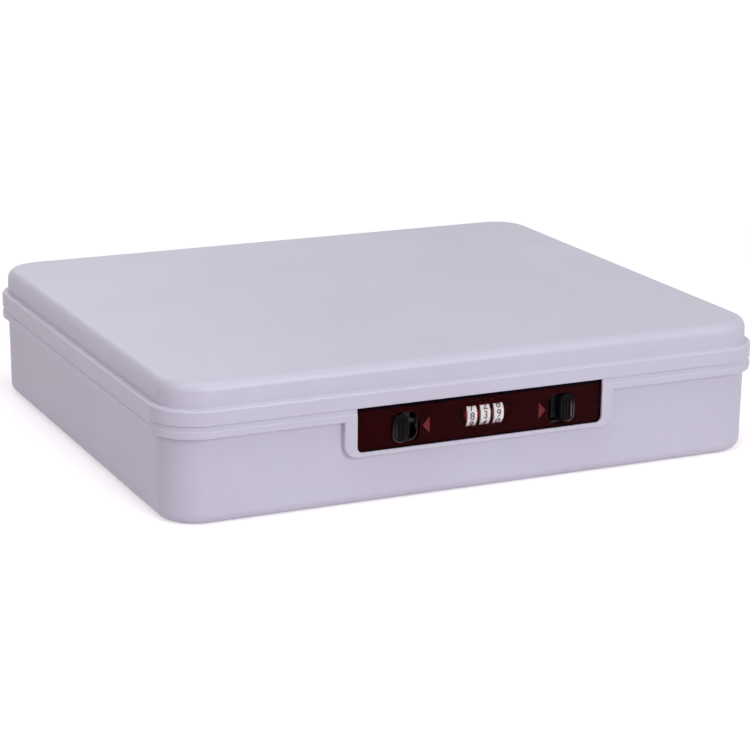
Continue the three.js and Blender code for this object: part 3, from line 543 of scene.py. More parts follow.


# Painted shade along the lens's edges, widest at the top under the lid's flange, as a mask from how near its
# edges a point lies
def paintedShadeMask(tree, s):
    apart = nodeWith(tree, "SeparateXYZ", {"Vector": objectPlace(tree)})
    mask = 0
    for axis, edge, width in (
        ("X", lensLow.x, s["paintedShadeBand"]["left"]), ("X", lensHigh.x, -s["paintedShadeBand"]["right"]),
        ("Z", lensHigh.z, -s["paintedShadeBand"]["top"]), ("Z", lensLow.z, s["paintedShadeBand"]["bottom"]),
    ):
        soft = math.copysign(s["soft"], width)
        near = mapped(tree, apart.outputs[axis], edge + width, edge + width + soft, 1, 0)
        mask = calculated(tree, "MAXIMUM", mask, near)
    return mask


# Smoked acrylic: clear, deep red, with faint moulding flow in its surface, and painted shade along its edges
def lensMaterial(name):
    s = materialSettings[name]
    material, tree, shader = newMaterial(name)
    surface = nodeWith(tree, "Group", {"Grain Scale": 90, "Drift Scale": 30}, node_tree=grainGroup)
    paintedShadeBand = paintedShadeMask(tree, s)
    rough = s["roughness"]
    lift = nodeWith(tree, "Bump", {
        "Height": surface.outputs["Tone"], "Strength": 0.02, "Distance": 0.05 * mm,
    })
    feed(tree, shader, {
        # Towards the edges the colour and the reflection's tint darken: painted shade
        "Base Color": mixedColour(tree, paintedShadeBand, s["tint"], s["paintedShadeTint"]),
        "Specular Tint": mixedColour(tree, paintedShadeBand, s["mirror"], s["paintedShadeMirror"]),
        "Roughness": mapped(tree, surface.outputs["Fine"], 0.3, 0.7, rough * 0.6, rough * 1.6),
        "Normal": lift.outputs["Normal"],
        "IOR": 1.49,
        "Transmission Weight": 1,
    })
    return material


casePlastic = plasticMaterial("casePlastic")
smokedAcrylic = lensMaterial("smokedAcrylic")
darkPlastic = plasticMaterial("darkPlastic")
buttonPlastic = plasticMaterial("buttonPlastic")
wheelPlastic = plasticMaterial("wheelPlastic")
digitPaint = plasticMaterial("digitPaint")
arrowPaint = plasticMaterial("arrowPaint")
platedSteel = metalMaterial("platedSteel")
blackenedSteel = metalMaterial("blackenedSteel")
springSteel = metalMaterial("springSteel")
turnedBrass = metalMaterial("turnedBrass")
print("materials made")


# Case shells

caseShape = {
    "width": trayHigh.x - trayLow.x, "depth": 271.3 * mm, "corner": 23 * mm, "cornerSteps": 12,
    "floorLap": 14 * mm,
}
trayShape = {
    "wallInset": 3.1 * mm, "draft": 0.4 * mm, "wall": 2.6 * mm, "floor": 3 * mm,
    "footRadius": 5.6 * mm, "innerRadius": 3 * mm, "ringInset": 25 * mm, "recess": 0.8 * mm,
    "bandHeight": 6.15 * mm, "stripHeight": 2.55 * mm, "stripInset": 0.45 * mm, "ledgeDrop": 3.75 * mm,
    "footCorner": 8 * mm, "seamRise": -0.25 * mm,
    "recessLap": 6 * mm, "edge": 0.22 * mm, "edgeDepth": 12 * mm,
}
lidShape = {
    "flangeBottom": 48.35 * mm, "flangeTop": 55.9 * mm, "wallInset": 3.05 * mm, "draft": 0.25 * mm,
    "wall": 2.65 * mm, "topWall": 2.6 * mm, "lipInset": 3.45 * mm, "lipDrop": 2.25 * mm,
    "edgeRadius": 5 * mm, "flangeRadius": 1.2 * mm, "innerRadius": 3 * mm, "innerCorner": 1 * mm,
    "lugNear": 2.1 * mm, "lugFar": 4.95 * mm, "lugHalf": 0.8 * mm, "lugLean": -55,
    "gateSide": 0.8 * mm, "gateRise": 0.6 * mm,
}
rimTop = lensHigh.z + 0.45 * mm


def trayProfile(s):
    bandBottom = rimTop - s["bandHeight"]
    stripBottom = rimTop - s["stripHeight"]
    ledge = rimTop - s["ledgeDrop"]
    seamTop = rimTop + s["seamRise"]
    foot = s["wallInset"] + s["draft"]
    inner = s["wallInset"] + s["wall"]
    return [
        (s["ringInset"] + s["recess"] + s["recessLap"], s["recess"], 0),
        (s["ringInset"] + s["recess"], s["recess"], 0.3 * mm),
        (s["ringInset"], 0, 0.3 * mm),
        (foot, 0, s["footRadius"]),
        (s["wallInset"], bandBottom, 0.35 * mm),
        (0, bandBottom, 0.45 * mm),
        (0, stripBottom, 0.3 * mm),
        (s["stripInset"], stripBottom, 0.12 * mm),
        (s["stripInset"], seamTop, 0.25 * mm),
        (s["stripInset"] + s["wall"], seamTop, 0.4 * mm),
        (s["stripInset"] + s["wall"], ledge, 0.3 * mm),
        (inner, ledge, 0.5 * mm),
        (inner + s["draft"], s["floor"], s["innerRadius"]),
        (inner + s["draft"] + caseShape["floorLap"], s["floor"], 0),
    ]


def lidProfile(s):
    inner = s["wallInset"] + s["wall"]
    lipBottom = s["flangeBottom"] - s["lipDrop"]
    return [
        (inner + s["draft"] + caseShape["floorLap"], lidHigh.z - s["topWall"], 0),
        (inner + s["draft"], lidHigh.z - s["topWall"], s["innerRadius"]),
        (inner, lipBottom, 0.4 * mm),
        (s["lipInset"], lipBottom, 0.6 * mm),
        (s["lipInset"], s["flangeBottom"], 0.3 * mm),
        (0, s["flangeBottom"], 0.28 * mm),
        (0, s["flangeTop"], s["flangeRadius"]),
        (s["wallInset"], s["flangeTop"], 0.35 * mm),
        (s["wallInset"] + s["draft"], lidHigh.z, s["edgeRadius"]),
        (s["wallInset"] + s["draft"] + caseShape["floorLap"], lidHigh.z, 0),
    ]


windowShape = {
    "half": 65.2 * mm, "corner": 3 * mm, "recess": 1.7 * mm, "fit": 0.3 * mm, "overlap": 1.5 * mm,
    "apronSide": 6.3 * mm, "apronDrop": 2.2 * mm, "apronCorner": 6.5 * mm, "apronEdge": 0.7 * mm,
    "lift": 0.6 * mm, "seatCorner": 3.9 * mm,
}
postShape = {"radius": 3.4 * mm, "hole": 1.7 * mm, "sunk": 0.3 * mm, "holeDepth": 4.3 * mm, "drop": 5 * mm}
hingeShape = {
    "radius": 4 * mm, "hole": 1.8 * mm, "offset": 4.8 * mm, "root": 1 * mm, "webGap": 0.45 * mm,
    "lidHalf": 7.5 * mm, "gap": 0.5 * mm, "trayWidth": 12 * mm, "trayWeb": 5.9 * mm, "lidWeb": 6.7 * mm,
    "apart": 95 * mm,
}
lockShape = {"earsBack": 6.7 * mm}
pins = [middle(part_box("hinge_pin_left")).x, middle(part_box("hinge_pin_right")).x]
hingeHalf = hingeShape["lidHalf"] + hingeShape["gap"] + hingeShape["trayWidth"]
hingeCentres = [math.copysign(hingeShape["apart"], x) for x in pins]


# An eye round the hinge axis, and the web that carries it from the tray or the lid
def knuckleSolids(spanX, side, webHeight):
    y, z = hingeAxis.y, hingeAxis.z
    s = hingeShape
    root = y - s["offset"] - s["root"]
    web = prismSolid([
        (root, z + side * s["webGap"]), (y, z + side * s["webGap"]),
        (y, z + side * s["radius"]), (root, z + side * webHeight),
    ], spanX)
    return [rodSolid(s["radius"], (spanX[0], y, z), (spanX[1], y, z), 48), web]


def pinHoles():
    y, z = hingeAxis.y, hingeAxis.z
    reach = hingeHalf + spare
    return [rodSolid(hingeShape["hole"], (x - reach, y, z), (x + reach, y, z), 32) for x in hingeCentres]


# A post and its pilot hole at each screw, both from one place to another along an axis
def screwPosts(screws, axis, postSpan, holeSpan):
    posts, holes = [], []
    for screw in screws:
        for solids, radius, span, sides in (
            (posts, postShape["radius"], postSpan, 32), (holes, postShape["hole"], holeSpan, 24),
        ):
            start, end = screw.copy(), screw.copy()
            start[axis], end[axis] = span
            solids.append(rodSolid(radius, start, end, sides))
    return posts, holes


mouldMarks = {
    "radius": 4 * mm, "depth": 0.12 * mm, "across": 5, "back": 4, "side": 118 * mm, "reach": 92 * mm,
}


# Shallow discs that the mould's ejector pins leave, sunk into a face at a height
def ejectorMarks(height, towards, skipFront):
    m = mouldMarks
    discs = []
    for row in range(m["back"]):
        for column in range(m["across"]):
            if skipFront and row == 0 and abs(column - (m["across"] - 1) / 2) < 2:
                continue
            x = m["side"] * (2 * column / (m["across"] - 1) - 1)
            y = front + caseShape["depth"] / 2 + m["reach"] * (2 * row / (m["back"] - 1) - 1)
            start = Vector((x, y, height - towards * m["depth"]))
            discs.append(rodSolid(m["radius"], start, start + Vector((0, 0, towards * 2 * spare)), 36))
    return discs


gateMark = {"dish": 6 * mm, "dishDepth": 0.35 * mm, "stub": 1.3 * mm, "stubReach": 0.3 * mm}


# The dish and stub left in the middle of the underside, where the tray was filled in the mould
def gateSolids():
    g = gateMark
    middleY = front + caseShape["depth"] / 2
    under = trayShape["recess"]
    dish = rodSolid(g["dish"], (0, middleY, under - spare), (0, middleY, under + g["dishDepth"]), 48)
    stub = rodSolid(g["stub"], (0, middleY, under - g["stubReach"]), (0, middleY, under + spare), 24)
    return dish, stub


def makeTray():
    shape, window = trayShape, windowShape
    profile = filleted(trayProfile(shape), 6)
    body = shellSolid(profile, caseShape["cornerSteps"], shape["footCorner"])
    bandBottom = rimTop - shape["bandHeight"]
    inside = shape["wallInset"] + shape["wall"]
    apronHalf = window["half"] + window["apronSide"]
    windowBottom = lensLow.z + window["lift"]
    apron = panelSolid(
        (-apronHalf, windowBottom - window["apronDrop"]), (apronHalf, bandBottom + spare),
        window["apronCorner"], 0, (front, front + inside - window["fit"]), 12,
    )
    softened(apron, window["apronEdge"], 60, 4, lambda p: p.y < front + nearby and p.z < bandBottom)
    joins = [apron]
    for x in hingeCentres:
        for side in (-1, 1):
            near = x + side * (hingeShape["lidHalf"] + hingeShape["gap"])
            far = near + side * hingeShape["trayWidth"]
            joins += knuckleSolids((min(near, far), max(near, far)), -1, hingeShape["trayWeb"])
    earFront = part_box("lock_chassis")[1].y - lockShape["earsBack"]
    postDepth = earFront - postShape["holeDepth"]
    posts, holes = screwPosts(
        [middle(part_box(f"chassis_screw_{n}")) for n in (1, 2, 3, 4)], 1,
        (front + inside - spare, earFront - postShape["sunk"]), (postDepth, earFront + spare),
    )
    body = combined(body, joins + posts, "UNION")
    seatFront = front + window["recess"] - window["fit"]
    sight = panelSolid(
        (-window["half"], windowBottom), (window["half"], rimTop + beyond), window["corner"], 0,
        (front - beyond, seatFront), 10,
    )
    seatHalf = window["half"] + window["overlap"] + window["fit"]
    seat = panelSolid(
        (-seatHalf, lensLow.z - window["fit"]), (seatHalf, rimTop + beyond), window["seatCorner"], 0,
        (seatFront - sliver, postDepth), 10,
    )
    dish, stub = gateSolids()
    marks = ejectorMarks(shape["floor"], 1, False)
    body = combined(body, [sight, seat, dish, *holes, *pinHoles(), *marks])
    body = combined(body, [stub], "UNION")
    softened(
        body, shape["edge"], 50, 2,
        lambda p: p.y < front + shape["edgeDepth"] and abs(p.x) < apronHalf - spare,
    )
    return finished(body, "tray_body", casePlastic, "base", ["base_tray"])


def makeLid():
    s = lidShape
    profile = filleted(lidProfile(s), 8)
    body = shellSolid(profile, caseShape["cornerSteps"], s["innerCorner"])
    joins = []
    for x in hingeCentres:
        span = (x - hingeShape["lidHalf"], x + hingeShape["lidHalf"])
        joins += knuckleSolids(span, 1, hingeShape["lidWeb"])
        lug = boxSolid((span[0], s["lugNear"], -s["lugHalf"]), (span[1], s["lugFar"], s["lugHalf"]))
        place = Matrix.Translation((0, hingeAxis.y, hingeAxis.z))
        turn = Matrix.Rotation(math.radians(s["lugLean"]), 4, "X")
        bmesh.ops.transform(lug, matrix=place @ turn, verts=lug.verts)
        joins.append(lug)
    underside = lidHigh.z - s["topWall"]
    posts, holes = screwPosts(
        [middle(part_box(f"strike_screw_{n}")) for n in (1, 2, 3, 4)], 2,
        (underside - postShape["drop"], underside + postShape["sunk"]),
        (underside - beyond, underside - postShape["sunk"]),
    )
    body = combined(body, joins + posts, "UNION")
    gateHalf = windowShape["half"] + windowShape["overlap"] + s["gateSide"]
    gate = boxSolid(
        (-gateHalf, front + s["lipInset"] - sliver, s["flangeBottom"] - s["lipDrop"] - spare),
        (gateHalf, front + s["wallInset"] + s["wall"] + sliver, s["flangeBottom"] + s["gateRise"]),
    )
    marks = ejectorMarks(underside, -1, True)
    body = combined(body, [gate, *holes, *pinHoles(), *marks])
    return finished(body, "lid_body", casePlastic, "lid", ["lid_shell"])


makeTray()
print("tray made")
makeLid()
print("lid made")


# Window lens and the printed arrows on its front

lensShape = {
    "corner": 3.6 * mm, "cornerSteps": 10, "slotHeight": 9.6 * mm, "slotFlare": 2 * mm,
    "slotGap": 0.3 * mm, "bevel": 0.22 * mm,
}
buttonShape = {"corner": 3.7 * mm, "gap": 0.3 * mm, "travel": 5.5 * mm}
wheelNames = ["number_wheel_1", "number_wheel_2", "number_wheel_3"]


def buttonOpening(word, side, depths):
    low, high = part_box(f"latch_button_{word}")
    gap, travel = buttonShape["gap"], buttonShape["travel"]
    left = low.x - gap - (travel if side > 0 else 0)
    right = high.x + gap + (travel if side < 0 else 0)
    corner = buttonShape["corner"] + gap
    return panelSolid((left, low.z - gap), (right, high.z + gap), corner, corner, depths, 12)


def makeLens():
    s = lensShape
    lens = panelSolid(
        (lensLow.x, lensLow.z), (lensHigh.x, lensHigh.z), s["corner"], 0, (lensLow.y, lensHigh.y),
        s["cornerSteps"],
    )
    cutters = []
    before, behind = lensLow.y - spare, lensHigh.y + spare
    for node in wheelNames:
        low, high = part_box(node)
        z = (low.z + high.z) / 2
        half = s["slotHeight"] / 2
        slope = spare * s["slotFlare"] / (lensHigh.y - lensLow.y)
        cutters.append(prismSolid([
            (before, z - half + slope), (behind, z - half - s["slotFlare"] - slope),
            (behind, z + half + s["slotFlare"] + slope), (before, z + half - slope),
        ], (low.x - s["slotGap"], high.x + s["slotGap"])))
    cutters.append(buttonOpening("left", -1, (before, behind)))
    cutters.append(buttonOpening("right", 1, (before, behind)))
    lens = combined(lens, cutters)
    softened(lens, s["bevel"], 40, 3)
    return finished(lens, "smoked_window", smokedAcrylic, "base", ["window_lens"])


arrowShape = {
    "reach": 31 * mm, "width": 3.7 * mm, "height": 8.2 * mm, "thickness": 0.04 * mm, "corner": 0.5 * mm,
}


# Two small printed arrows on the front of the lens, pointing outward to the buttons
def makeArrows():
    s = arrowShape
    centre = middle(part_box("number_wheel_2"))
    z = middle(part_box("latch_button_left")).z
    for word, side in (("left", -1), ("right", 1)):
        x = centre.x + side * s["reach"]
        foot = x - side * s["width"] / 2
        corners = [(x + side * s["width"] / 2, z), (foot, z + s["height"] / 2), (foot, z - s["height"] / 2)]
        bm = bmesh.new()
        verts = [bm.verts.new((cornerX, lensLow.y, cornerZ)) for cornerX, cornerZ in corners]
        bm.faces.new(verts)
        bevelled(bm, verts, s["corner"], 4, "VERTICES")
        thickened(bm, list(bm.faces), (0, -s["thickness"], 0))
        finished(bm, f"arrow_{word}", arrowPaint, "base")


makeLens()
makeArrows()
print("window made")


# Number wheels

wheelShape = {
    "radius": 7.4 * mm, "flats": 10, "notchWidth": 1.1 * mm, "notchDepth": 0.4 * mm, "notchWall": 0.12 * mm,
    "bore": 5.4 * mm, "spline": 4.75 * mm, "splineWidth": 0.7 * mm, "bevel": 0.12 * mm, "shown": (8, 3, 9),
    "digitSize": 5.18 * mm, "digitProud": 0.03 * mm, "digitBold": 0.09 * mm, "digitSteps": 12,
}


def makeWheelMesh(low, high):
    s = wheelShape
    centre = (low + high) / 2
    halfStep = math.pi / s["flats"]
    turn = Matrix.Rotation(quarterTurn, 4, "Y") @ Matrix.Rotation(halfStep, 4, "Z")
    bm = bmesh.new()
    bmesh.ops.create_cone(
        bm, cap_ends=True, segments=s["flats"], radius1=s["radius"], radius2=s["radius"],
        depth=high.x - low.x, matrix=Matrix.Translation(centre) @ turn,
    )
    long = [edge for edge in bm.edges if abs(edge.verts[0].co.x - edge.verts[1].co.x) > spare]
    notches = bevelled(bm, long, s["notchWidth"] / 2, 1, "EDGES")
    bmesh.ops.inset_individual(
        bm, faces=notches, thickness=s["notchWall"], depth=-s["notchDepth"], use_even_offset=True,
    )
    start, end = low.x, high.x
    deepStart = start + s["splineWidth"]
    cutters = [
        rodSolid(s["bore"], (deepStart, centre.y, centre.z), (end + spare, centre.y, centre.z), 64),
        rodSolid(s["spline"], (start - spare, centre.y, centre.z), (end, centre.y, centre.z), 64),
    ]
    bm = combined(bm, cutters)
    softened(bm, s["bevel"], 30, 2)
    # Marks the side faces, which the material paints in shade
    layer = bm.faces.layers.float.new("sideFace")
    for face in bm.faces:
        face[layer] = abs(face.normal.x) > 0.9
    return bm


# Ten printed numerals, one on each flat, with the shown one at the front
def makeDigits(name, centre, shown, wheelBody):
    s = wheelShape
    flat = s["radius"] * math.cos(math.pi / s["flats"])
    upright = Matrix.Translation((0, -flat, 0)) @ Matrix.Rotation(quarterTurn, 4, "X")
    joined = bmesh.new()
    for step in range(s["flats"]):
        curve = bpy.data.curves.new("numeral", "FONT")
        curve.body = str((shown + step) % s["flats"])
        curve.size = s["digitSize"]
        curve.align_x = "CENTER"
        curve.align_y = "CENTER"
        curve.extrude = s["digitProud"]
        curve.offset = s["digitBold"]
        curve.resolution_u = s["digitSteps"]
        holder = placed("numeral", curve)
        graph = bpy.context.evaluated_depsgraph_get()
        mesh = bpy.data.meshes.new_from_object(holder.evaluated_get(graph))
        bpy.data.objects.remove(holder)
        turn = Matrix.Rotation(2 * math.pi * step / s["flats"], 4, "X")
        mesh.transform(Matrix.Translation(centre) @ turn @ upright)
        joined.from_mesh(mesh)
    finished(joined, name, digitPaint, wheelBody)


for index, node in enumerate(wheelNames):
    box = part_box(node)
    wheelBody = f"dial_{index + 1}"
    finished(makeWheelMesh(*box), f"wheel_{index + 1}", wheelPlastic, wheelBody, [node])
    makeDigits(f"numerals_{index + 1}", middle(box), wheelShape["shown"][index], wheelBody)
print("wheels made")


# Buttons

gripShape = {
    "count": 4, "pitch": 1.5 * mm, "groove": 0.7 * mm, "height": 9 * mm, "capDepth": 4.4 * mm,
    "peg": 1.5 * mm, "sunk": 0.12 * mm, "edge": 0.55 * mm, "grooveEdge": 0.08 * mm,
    "rimFrom": 0.02 * mm, "rimTo": 0.7 * mm, "rimStart": 3.2 * mm, "squash": 0.6, "faintGlint": 0.05,
    "glintSide": {"left": (-0.3, -0.95, 1), "right": (0.75, -0.66, 2.4)},
}


# A thumb button with finger grooves, and a painted glint along one stretch of its rim
def makeButton(word, body):
    s = gripShape
    node = f"latch_button_{word}"
    low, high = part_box(node)
    centre = (low + high) / 2
    back = low.y + s["capDepth"]
    corner = buttonShape["corner"]
    cap = panelSolid((low.x, low.z), (high.x, high.z), corner, corner, (low.y, back), 14)
    softened(cap, s["edge"], 60, 5, lambda p: p.y < low.y + nearby)
    grooves = []
    reach = (s["height"] - s["groove"]) / 2
    for index in range(s["count"]):
        x = centre.x + (index - (s["count"] - 1) / 2) * s["pitch"]
        along = [(x, low.y + s["sunk"], centre.z + side * reach) for side in (-1, 1)]
        grooves.append(rodSolid(s["groove"] / 2, *along, 20))
        grooves += [roundEnd(s["groove"] / 2, place) for place in along]
    cap = combined(cap, grooves)
    pegFront = back - spare / 2
    peg = rodSolid(s["peg"], (centre.x, pegFront, centre.z), (centre.x, high.y, centre.z), 32)
    cap = combined(cap, [peg], "UNION")
    softened(cap, s["grooveEdge"], 55, 2, lambda p: p.y < low.y + 2 * nearby)
    piece = finished(cap, f"thumb_button_{word}", buttonPlastic, body, [node])
    # The edge mask is rewritten here: a painted glint on the rim where it faces the glint side, and a faint
    # painted highlight on the other edges
    sideways, upward, amount = s["glintSide"][word]
    for vert, bend in zip(piece.data.vertices, piece.data.attributes["edgeBend"].data):
        away = Vector((vert.co.x - centre.x, 0, (vert.co.z - centre.z) * s["squash"]))
        facing = max(0, away.normalized().dot(Vector((sideways, 0, upward))))
        onRim = s["rimFrom"] < vert.co.y - low.y < s["rimTo"] and away.length > s["rimStart"]
        bend.value = amount * facing ** 3 if onRim else bend.value * s["faintGlint"]


def roundEnd(radius, place):
    bm = bmesh.new()
    place = Matrix.Translation(place)
    bmesh.ops.create_uvsphere(bm, u_segments=20, v_segments=12, radius=radius, matrix=place)
    return bm


makeButton("left", "left_latch")
makeButton("right", "right_latch")
print("buttons made")


# Lock works that keep the frame's own shapes, with their edges broken

dressing = {
    "strike_left": (platedSteel, "lid", "latch_steel", 0.25),
    "strike_right": (platedSteel, "lid", "latch_steel", 0.25),
    "latch_slide_left": (blackenedSteel, "left_latch", "latch_steel", 0.1),
    "latch_slide_right": (blackenedSteel, "right_latch", "latch_steel", 0.1),
    "reset_lever": (platedSteel, "reset", "latch_steel", 0.15),
    "dial_detent": (springSteel, "base", "spring_steel", 0.04),
    "latch_detent_left": (springSteel, "base", "spring_steel", 0.04),
    "latch_detent_right": (springSteel, "base", "spring_steel", 0.04),
}

# The lever's lower edge is raised a little, to pass clear of the chassis floor when it slides
footLift = {"reset_lever": 0.1 * mm}

for node, (material, body, slot, width) in dressing.items():
    copy = nodeCopy(node)
    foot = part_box(node)[0].z
    for vert in copy.verts:
        if vert.co.z < foot + sliver:
            vert.co.z += footLift.get(node, 0)
    softened(copy, width * mm, 40, 2)
    finished(copy, f"{node}_finished", material, body, [node])
print("lock works dressed")


# Chassis and cover: the frame's shapes with moulded pockets and ejector marks

pocketShape = {
    "depth": 0.4 * mm, "near": 9 * mm, "far": 62 * mm, "edge": 3.2 * mm, "rib": 1.4 * mm, "count": 3,
    "corner": 1.2 * mm, "bevel": 0.16 * mm,
}
chassisMark = {
    "radius": 1.6 * mm, "depth": 0.15 * mm, "count": 7, "side": 57 * mm, "inset": 3.2 * mm,
    "bevel": 0.18 * mm,
}


def makeCover():
    s = pocketShape
    low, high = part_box("lock_cover")
    cover = nodeCopy("lock_cover")
    cutters = []
    width = (s["far"] - s["near"] - (s["count"] - 1) * s["rib"]) / s["count"]
    for side in (-1, 1):
        for index in range(s["count"]):
            near = s["near"] + index * (width + s["rib"])
            span = sorted((side * near, side * (near + width)))
            cutters.append(panelSolid(
                (span[0], low.z + s["edge"]), (span[1], high.z - s["edge"]), s["corner"], s["corner"],
                (high.y - s["depth"], high.y + spare), 6,
            ))
    cover = combined(cover, cutters)
    softened(cover, s["bevel"], 40, 2)
    finished(cover, "lock_cover_finished", darkPlastic, "base", ["lock_cover"])


def makeChassis():
    m = chassisMark
    low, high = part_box("lock_chassis")
    chassis = nodeCopy("lock_chassis")
    y = low.y + m["inset"]
    cutters = []
    for index in range(m["count"]):
        x = m["side"] * (2 * index / (m["count"] - 1) - 1)
        cutters.append(rodSolid(m["radius"], (x, y, high.z - m["depth"]), (x, y, high.z + spare), 28))
    chassis = combined(chassis, cutters)
    softened(chassis, m["bevel"], 40, 2)
    finished(chassis, "lock_chassis_finished", darkPlastic, "base", ["lock_chassis"])


makeCover()
makeChassis()
print("chassis and cover made")


# Pan head screws with a cross recess and a coarse thread

screwShape = {
    "headHeight": 1.9 * mm, "rim": 0.6 * mm, "domeSteps": 9, "shank": 1.4 * mm,
    "pitch": 1.1 * mm, "threadDepth": 0.22 * mm, "tip": 1.2 * mm, "blunt": 0.4, "plain": 0.5 * mm,
    "recessLength": 3.2 * mm, "recessWidth": 0.8 * mm, "recessDepth": 1.15 * mm, "recessTaper": 0.55,
}


# The quarter arc of a domed head, as pairs of radius and distance
def dome(radius, base, height, steps):
    angles = [quarterTurn * step / steps for step in range(steps + 1)]
    return [(radius * math.cos(angle), base + height * math.sin(angle)) for angle in angles]


# One blade of the cross recess, narrowing towards its floor
def recessBlade(turn, top):
    s = screwShape
    bm = boxSolid(
        (-s["recessLength"] / 2, -s["recessWidth"] / 2, top - s["recessDepth"]),
        (s["recessLength"] / 2, s["recessWidth"] / 2, top + 2 * nearby),
    )
    floor = [vert for vert in bm.verts if vert.co.z < top - s["recessDepth"] / 2]
    bmesh.ops.scale(bm, vec=(s["recessTaper"], s["recessTaper"], 1), verts=floor)
    bmesh.ops.rotate(bm, verts=bm.verts, matrix=Matrix.Rotation(turn, 3, "Z"))
    return bm


def makeScrew(node, towards, body, turn):
    s = screwShape
    low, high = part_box(node)
    towards = Vector(towards)
    length = abs((high - low).dot(towards))
    head = (high.x - low.x) / 2
    tip = s["headHeight"] - length
    root = s["shank"] - s["threadDepth"]
    along = tip + s["tip"]
    profile = [(0, tip), (s["shank"] * s["blunt"], tip), (root, along)]
    while along + s["pitch"] < -s["plain"]:
        profile += [(s["shank"], along + s["pitch"] / 2), (root, along + s["pitch"])]
        along += s["pitch"]
    profile += [(s["shank"], 0), (head, 0)]
    profile += dome(head, s["rim"], s["headHeight"] - s["rim"], s["domeSteps"])
    screw = turnedSolid(profile, (0, 0, 0), (0, 0, 1), 32)
    blades = [recessBlade(turn, s["headHeight"]), recessBlade(turn + quarterTurn, s["headHeight"])]
    screw = combined(screw, blades)
    facing = towards.to_track_quat("Z", "Y").to_matrix().to_4x4()
    seat = (low + high) / 2 + towards * (length / 2 - s["headHeight"])
    bmesh.ops.transform(screw, matrix=Matrix.Translation(seat) @ facing, verts=screw.verts)
    finished(screw, f"{node}_finished", platedSteel, body, [node])


for n in (1, 2, 3, 4):
    makeScrew(f"chassis_screw_{n}", (0, 1, 0), "base", 0.7 * n)
    makeScrew(f"strike_screw_{n}", (0, 0, -1), "lid", 0.9 * n + 0.3)
print("screws made")


# Hinge pins: a plain shank with a riveted head

pinShape = {"shank": 1.5 * mm, "head": 1 * mm, "domeSteps": 8, "chamfer": 0.3 * mm}


def makePin(word, outward):
    s = pinShape
    low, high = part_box(f"hinge_pin_{word}")
    length = high.x - low.x
    head = (high.z - low.z) / 2
    seat = length - s["head"]
    profile = [(0, 0), (s["shank"] - s["chamfer"], 0), (s["shank"], s["chamfer"]), (s["shank"], seat)]
    profile += dome(head, seat, s["head"], s["domeSteps"])
    start = Vector((high.x if outward < 0 else low.x, (low.y + high.y) / 2, (low.z + high.z) / 2))
    pin = turnedSolid(profile, start, (outward, 0, 0), 40)
    finished(pin, f"hinge_pin_{word}_finished", platedSteel, "base", [f"hinge_pin_{word}"])


makePin("left", -1)
makePin("right", 1)
print("hinge pins made")


# Code sleeves: turned tubes with a gate in the middle web and two drive keys

sleeveShape = {
    "outer": 4.5 * mm, "inner": 3.6 * mm, "hole": 2.5 * mm, "web": 1.6 * mm, "gate": 1.2 * mm,
    "key": 0.5 * mm, "keySpan": 0.8 * mm, "keyPlace": 0.35 * mm, "keySunk": 0.3 * mm, "bevel": 0.1 * mm,
}


def makeSleeve(number):
    s = sleeveShape
    low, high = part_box(f"code_sleeve_{number}")
    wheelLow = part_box(f"number_wheel_{number}")[0]
    centre = (low + high) / 2
    half = (high.x - low.x) / 2
    web = s["web"] / 2
    edge = s["bevel"]
    profile = [
        (s["inner"], -half), (s["outer"] - edge, -half), (s["outer"], edge - half), (s["outer"], half - edge),
        (s["outer"] - edge, half), (s["inner"], half), (s["inner"], web), (s["hole"], web),
        (s["hole"], -web), (s["inner"], -web), (s["inner"], -half),
    ]
    tube = turnedSolid(profile, centre, (1, 0, 0), 64)
    reach = Vector((s["web"], s["gate"], 0))
    gate = boxSolid(centre - reach - Vector((0, 0, s["inner"])), centre + reach)
    tube = combined(tube, [gate])
    keyMiddle = wheelLow.x + s["keyPlace"]
    keys = []
    for side in (-1, 1):
        near = centre.z + side * (s["outer"] - s["keySunk"])
        far = high.z if side > 0 else low.z
        keys.append(boxSolid(
            (keyMiddle - s["key"] / 2, centre.y - s["keySpan"] / 2, min(near, far)),
            (keyMiddle + s["key"] / 2, centre.y + s["keySpan"] / 2, max(near, far)),
        ))
    tube = combined(tube, keys, "UNION")
    name = f"code_sleeve_{number}"
    finished(tube, f"{name}_finished", turnedBrass, f"sleeve_{number}", [name])


for number in (1, 2, 3):
    makeSleeve(number)
print("sleeves made")


# Sleeve spring: round wire wound round the bearing

springShape = {"wire": 0.25 * mm, "turns": 3, "steps": 32}


def makeSpring():
    s = springShape
    low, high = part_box("sleeve_spring")
    centre = (low + high) / 2
    radius = (high.z - low.z) / 2 - s["wire"]
    rise = (high.x - low.x - 2 * s["wire"]) / s["turns"]
    bm = bmesh.new()
    ring = bmesh.ops.create_circle(bm, segments=14, radius=s["wire"])["verts"]
    bmesh.ops.rotate(bm, verts=ring, matrix=Matrix.Rotation(quarterTurn, 3, "X"))
    bmesh.ops.translate(bm, verts=ring, vec=(low.x + s["wire"], centre.y, centre.z + radius))
    start = list(bm.edges)
    count = s["turns"] * s["steps"]
    bmesh.ops.spin(
        bm, geom=ring + start, cent=centre, axis=(1, 0, 0), angle=2 * math.pi * s["turns"],
        dvec=(rise / s["steps"], 0, 0), steps=count,
    )
    bmesh.ops.holes_fill(bm, edges=bm.edges, sides=0)
    finished(bm, "sleeve_spring_finished", springSteel, "base", ["sleeve_spring"])


makeSpring()
print("spring made")


# Studio: pale floor, soft light

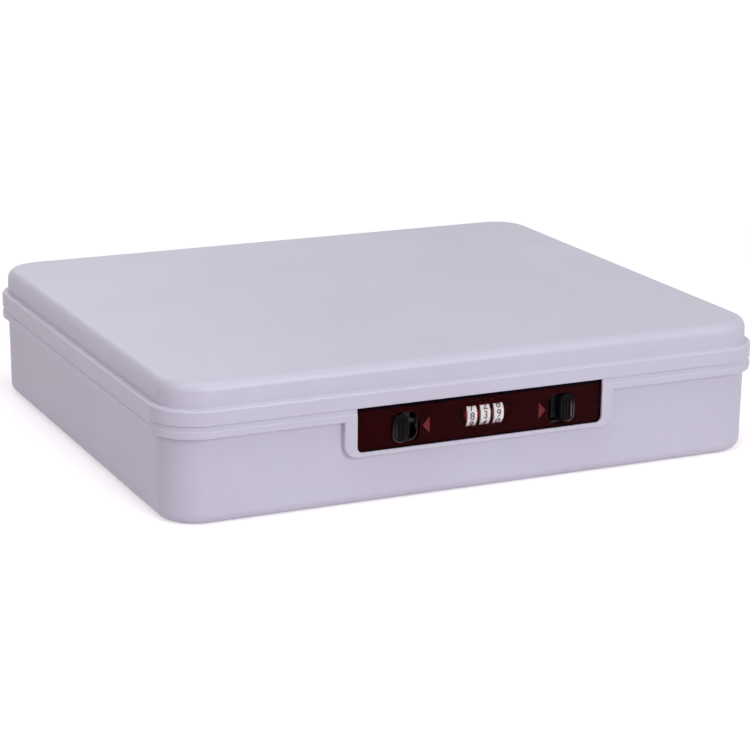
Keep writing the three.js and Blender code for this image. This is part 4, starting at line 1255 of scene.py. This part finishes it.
studio = {
    "floor": 6, "floorColour": (0.84, 0.77, 0.8), "seenLift": (0.5, 1.2), "liftReach": (0.5, 1.8),
    "sky": 0.2, "reach": 1.9,
}
lights = {
    "keyLight": {"turn": 12, "rise": 22, "size": 0.7, "power": 13.8, "colour": (0.96, 1, 0.99)},
    "topLight": {"turn": -20, "rise": 76, "size": 0.9, "power": 12.8, "colour": (0.96, 0.99, 1)},
    "sideLight": {"turn": -65, "rise": 38, "size": 0.9, "power": 5.4, "colour": (1, 0.88, 0.95)},
    "backLight": {"turn": 178, "rise": 36, "size": 0.9, "power": 3.5, "colour": (1, 1, 1)},
}


# A mask for what is seen straight, in a reflection or through glass
def seenMask(tree):
    rays = nodeWith(tree, "LightPath").outputs
    seen = calculated(tree, "MAXIMUM", rays["Is Camera Ray"], rays["Is Glossy Ray"])
    return calculated(tree, "MAXIMUM", seen, rays["Is Transmission Ray"])


def makeStudio(s):
    bm = bmesh.new()
    bmesh.ops.create_grid(bm, x_segments=1, y_segments=1, size=s["floor"] / 2)
    floor = asObject(bm, "studio_floor")
    material, tree, shader = newMaterial("studioFloor")
    away = nodeWith(tree, "VectorMath", {0: objectPlace(tree)}, operation="LENGTH").outputs["Value"]
    lift = mapped(tree, away, *s["liftReach"], *s["seenLift"])
    feed(tree, shader, {
        "Emission Strength": calculated(tree, "MULTIPLY", seenMask(tree), lift),
        "Emission Color": (1, 1, 1),
        "Base Color": s["floorColour"],
        "Roughness": 0.9,
        "Specular IOR Level": 0.1,
    })
    floor.data.materials.append(material)

    world = bpy.data.worlds.new("studioWorld")
    bpy.context.scene.world = world
    world.use_nodes = True
    tree = world.node_tree
    level = mapped(tree, seenMask(tree), 0, 1, s["sky"], 1)
    feed(tree, tree.nodes["Background"], {"Strength": level, "Color": (1, 1, 1)})


def makeLight(name, s):
    data = bpy.data.lights.new(name, "AREA")
    data.energy = s["power"]
    data.size = s["size"]
    data.color = s["colour"]
    lamp = placed(name, data)
    turn, rise = math.radians(s["turn"]), math.radians(s["rise"])
    towards = Vector((math.sin(turn) * math.cos(rise), -math.cos(turn) * math.cos(rise), math.sin(rise)))
    lamp.location = towards * studio["reach"]
    lamp.rotation_euler = towards.to_track_quat("Z", "Y").to_euler()


makeStudio(studio)
for name, settings in lights.items():
    makeLight(name, settings)
bpy.context.scene.view_settings.view_transform = "Standard"
print("studio made")
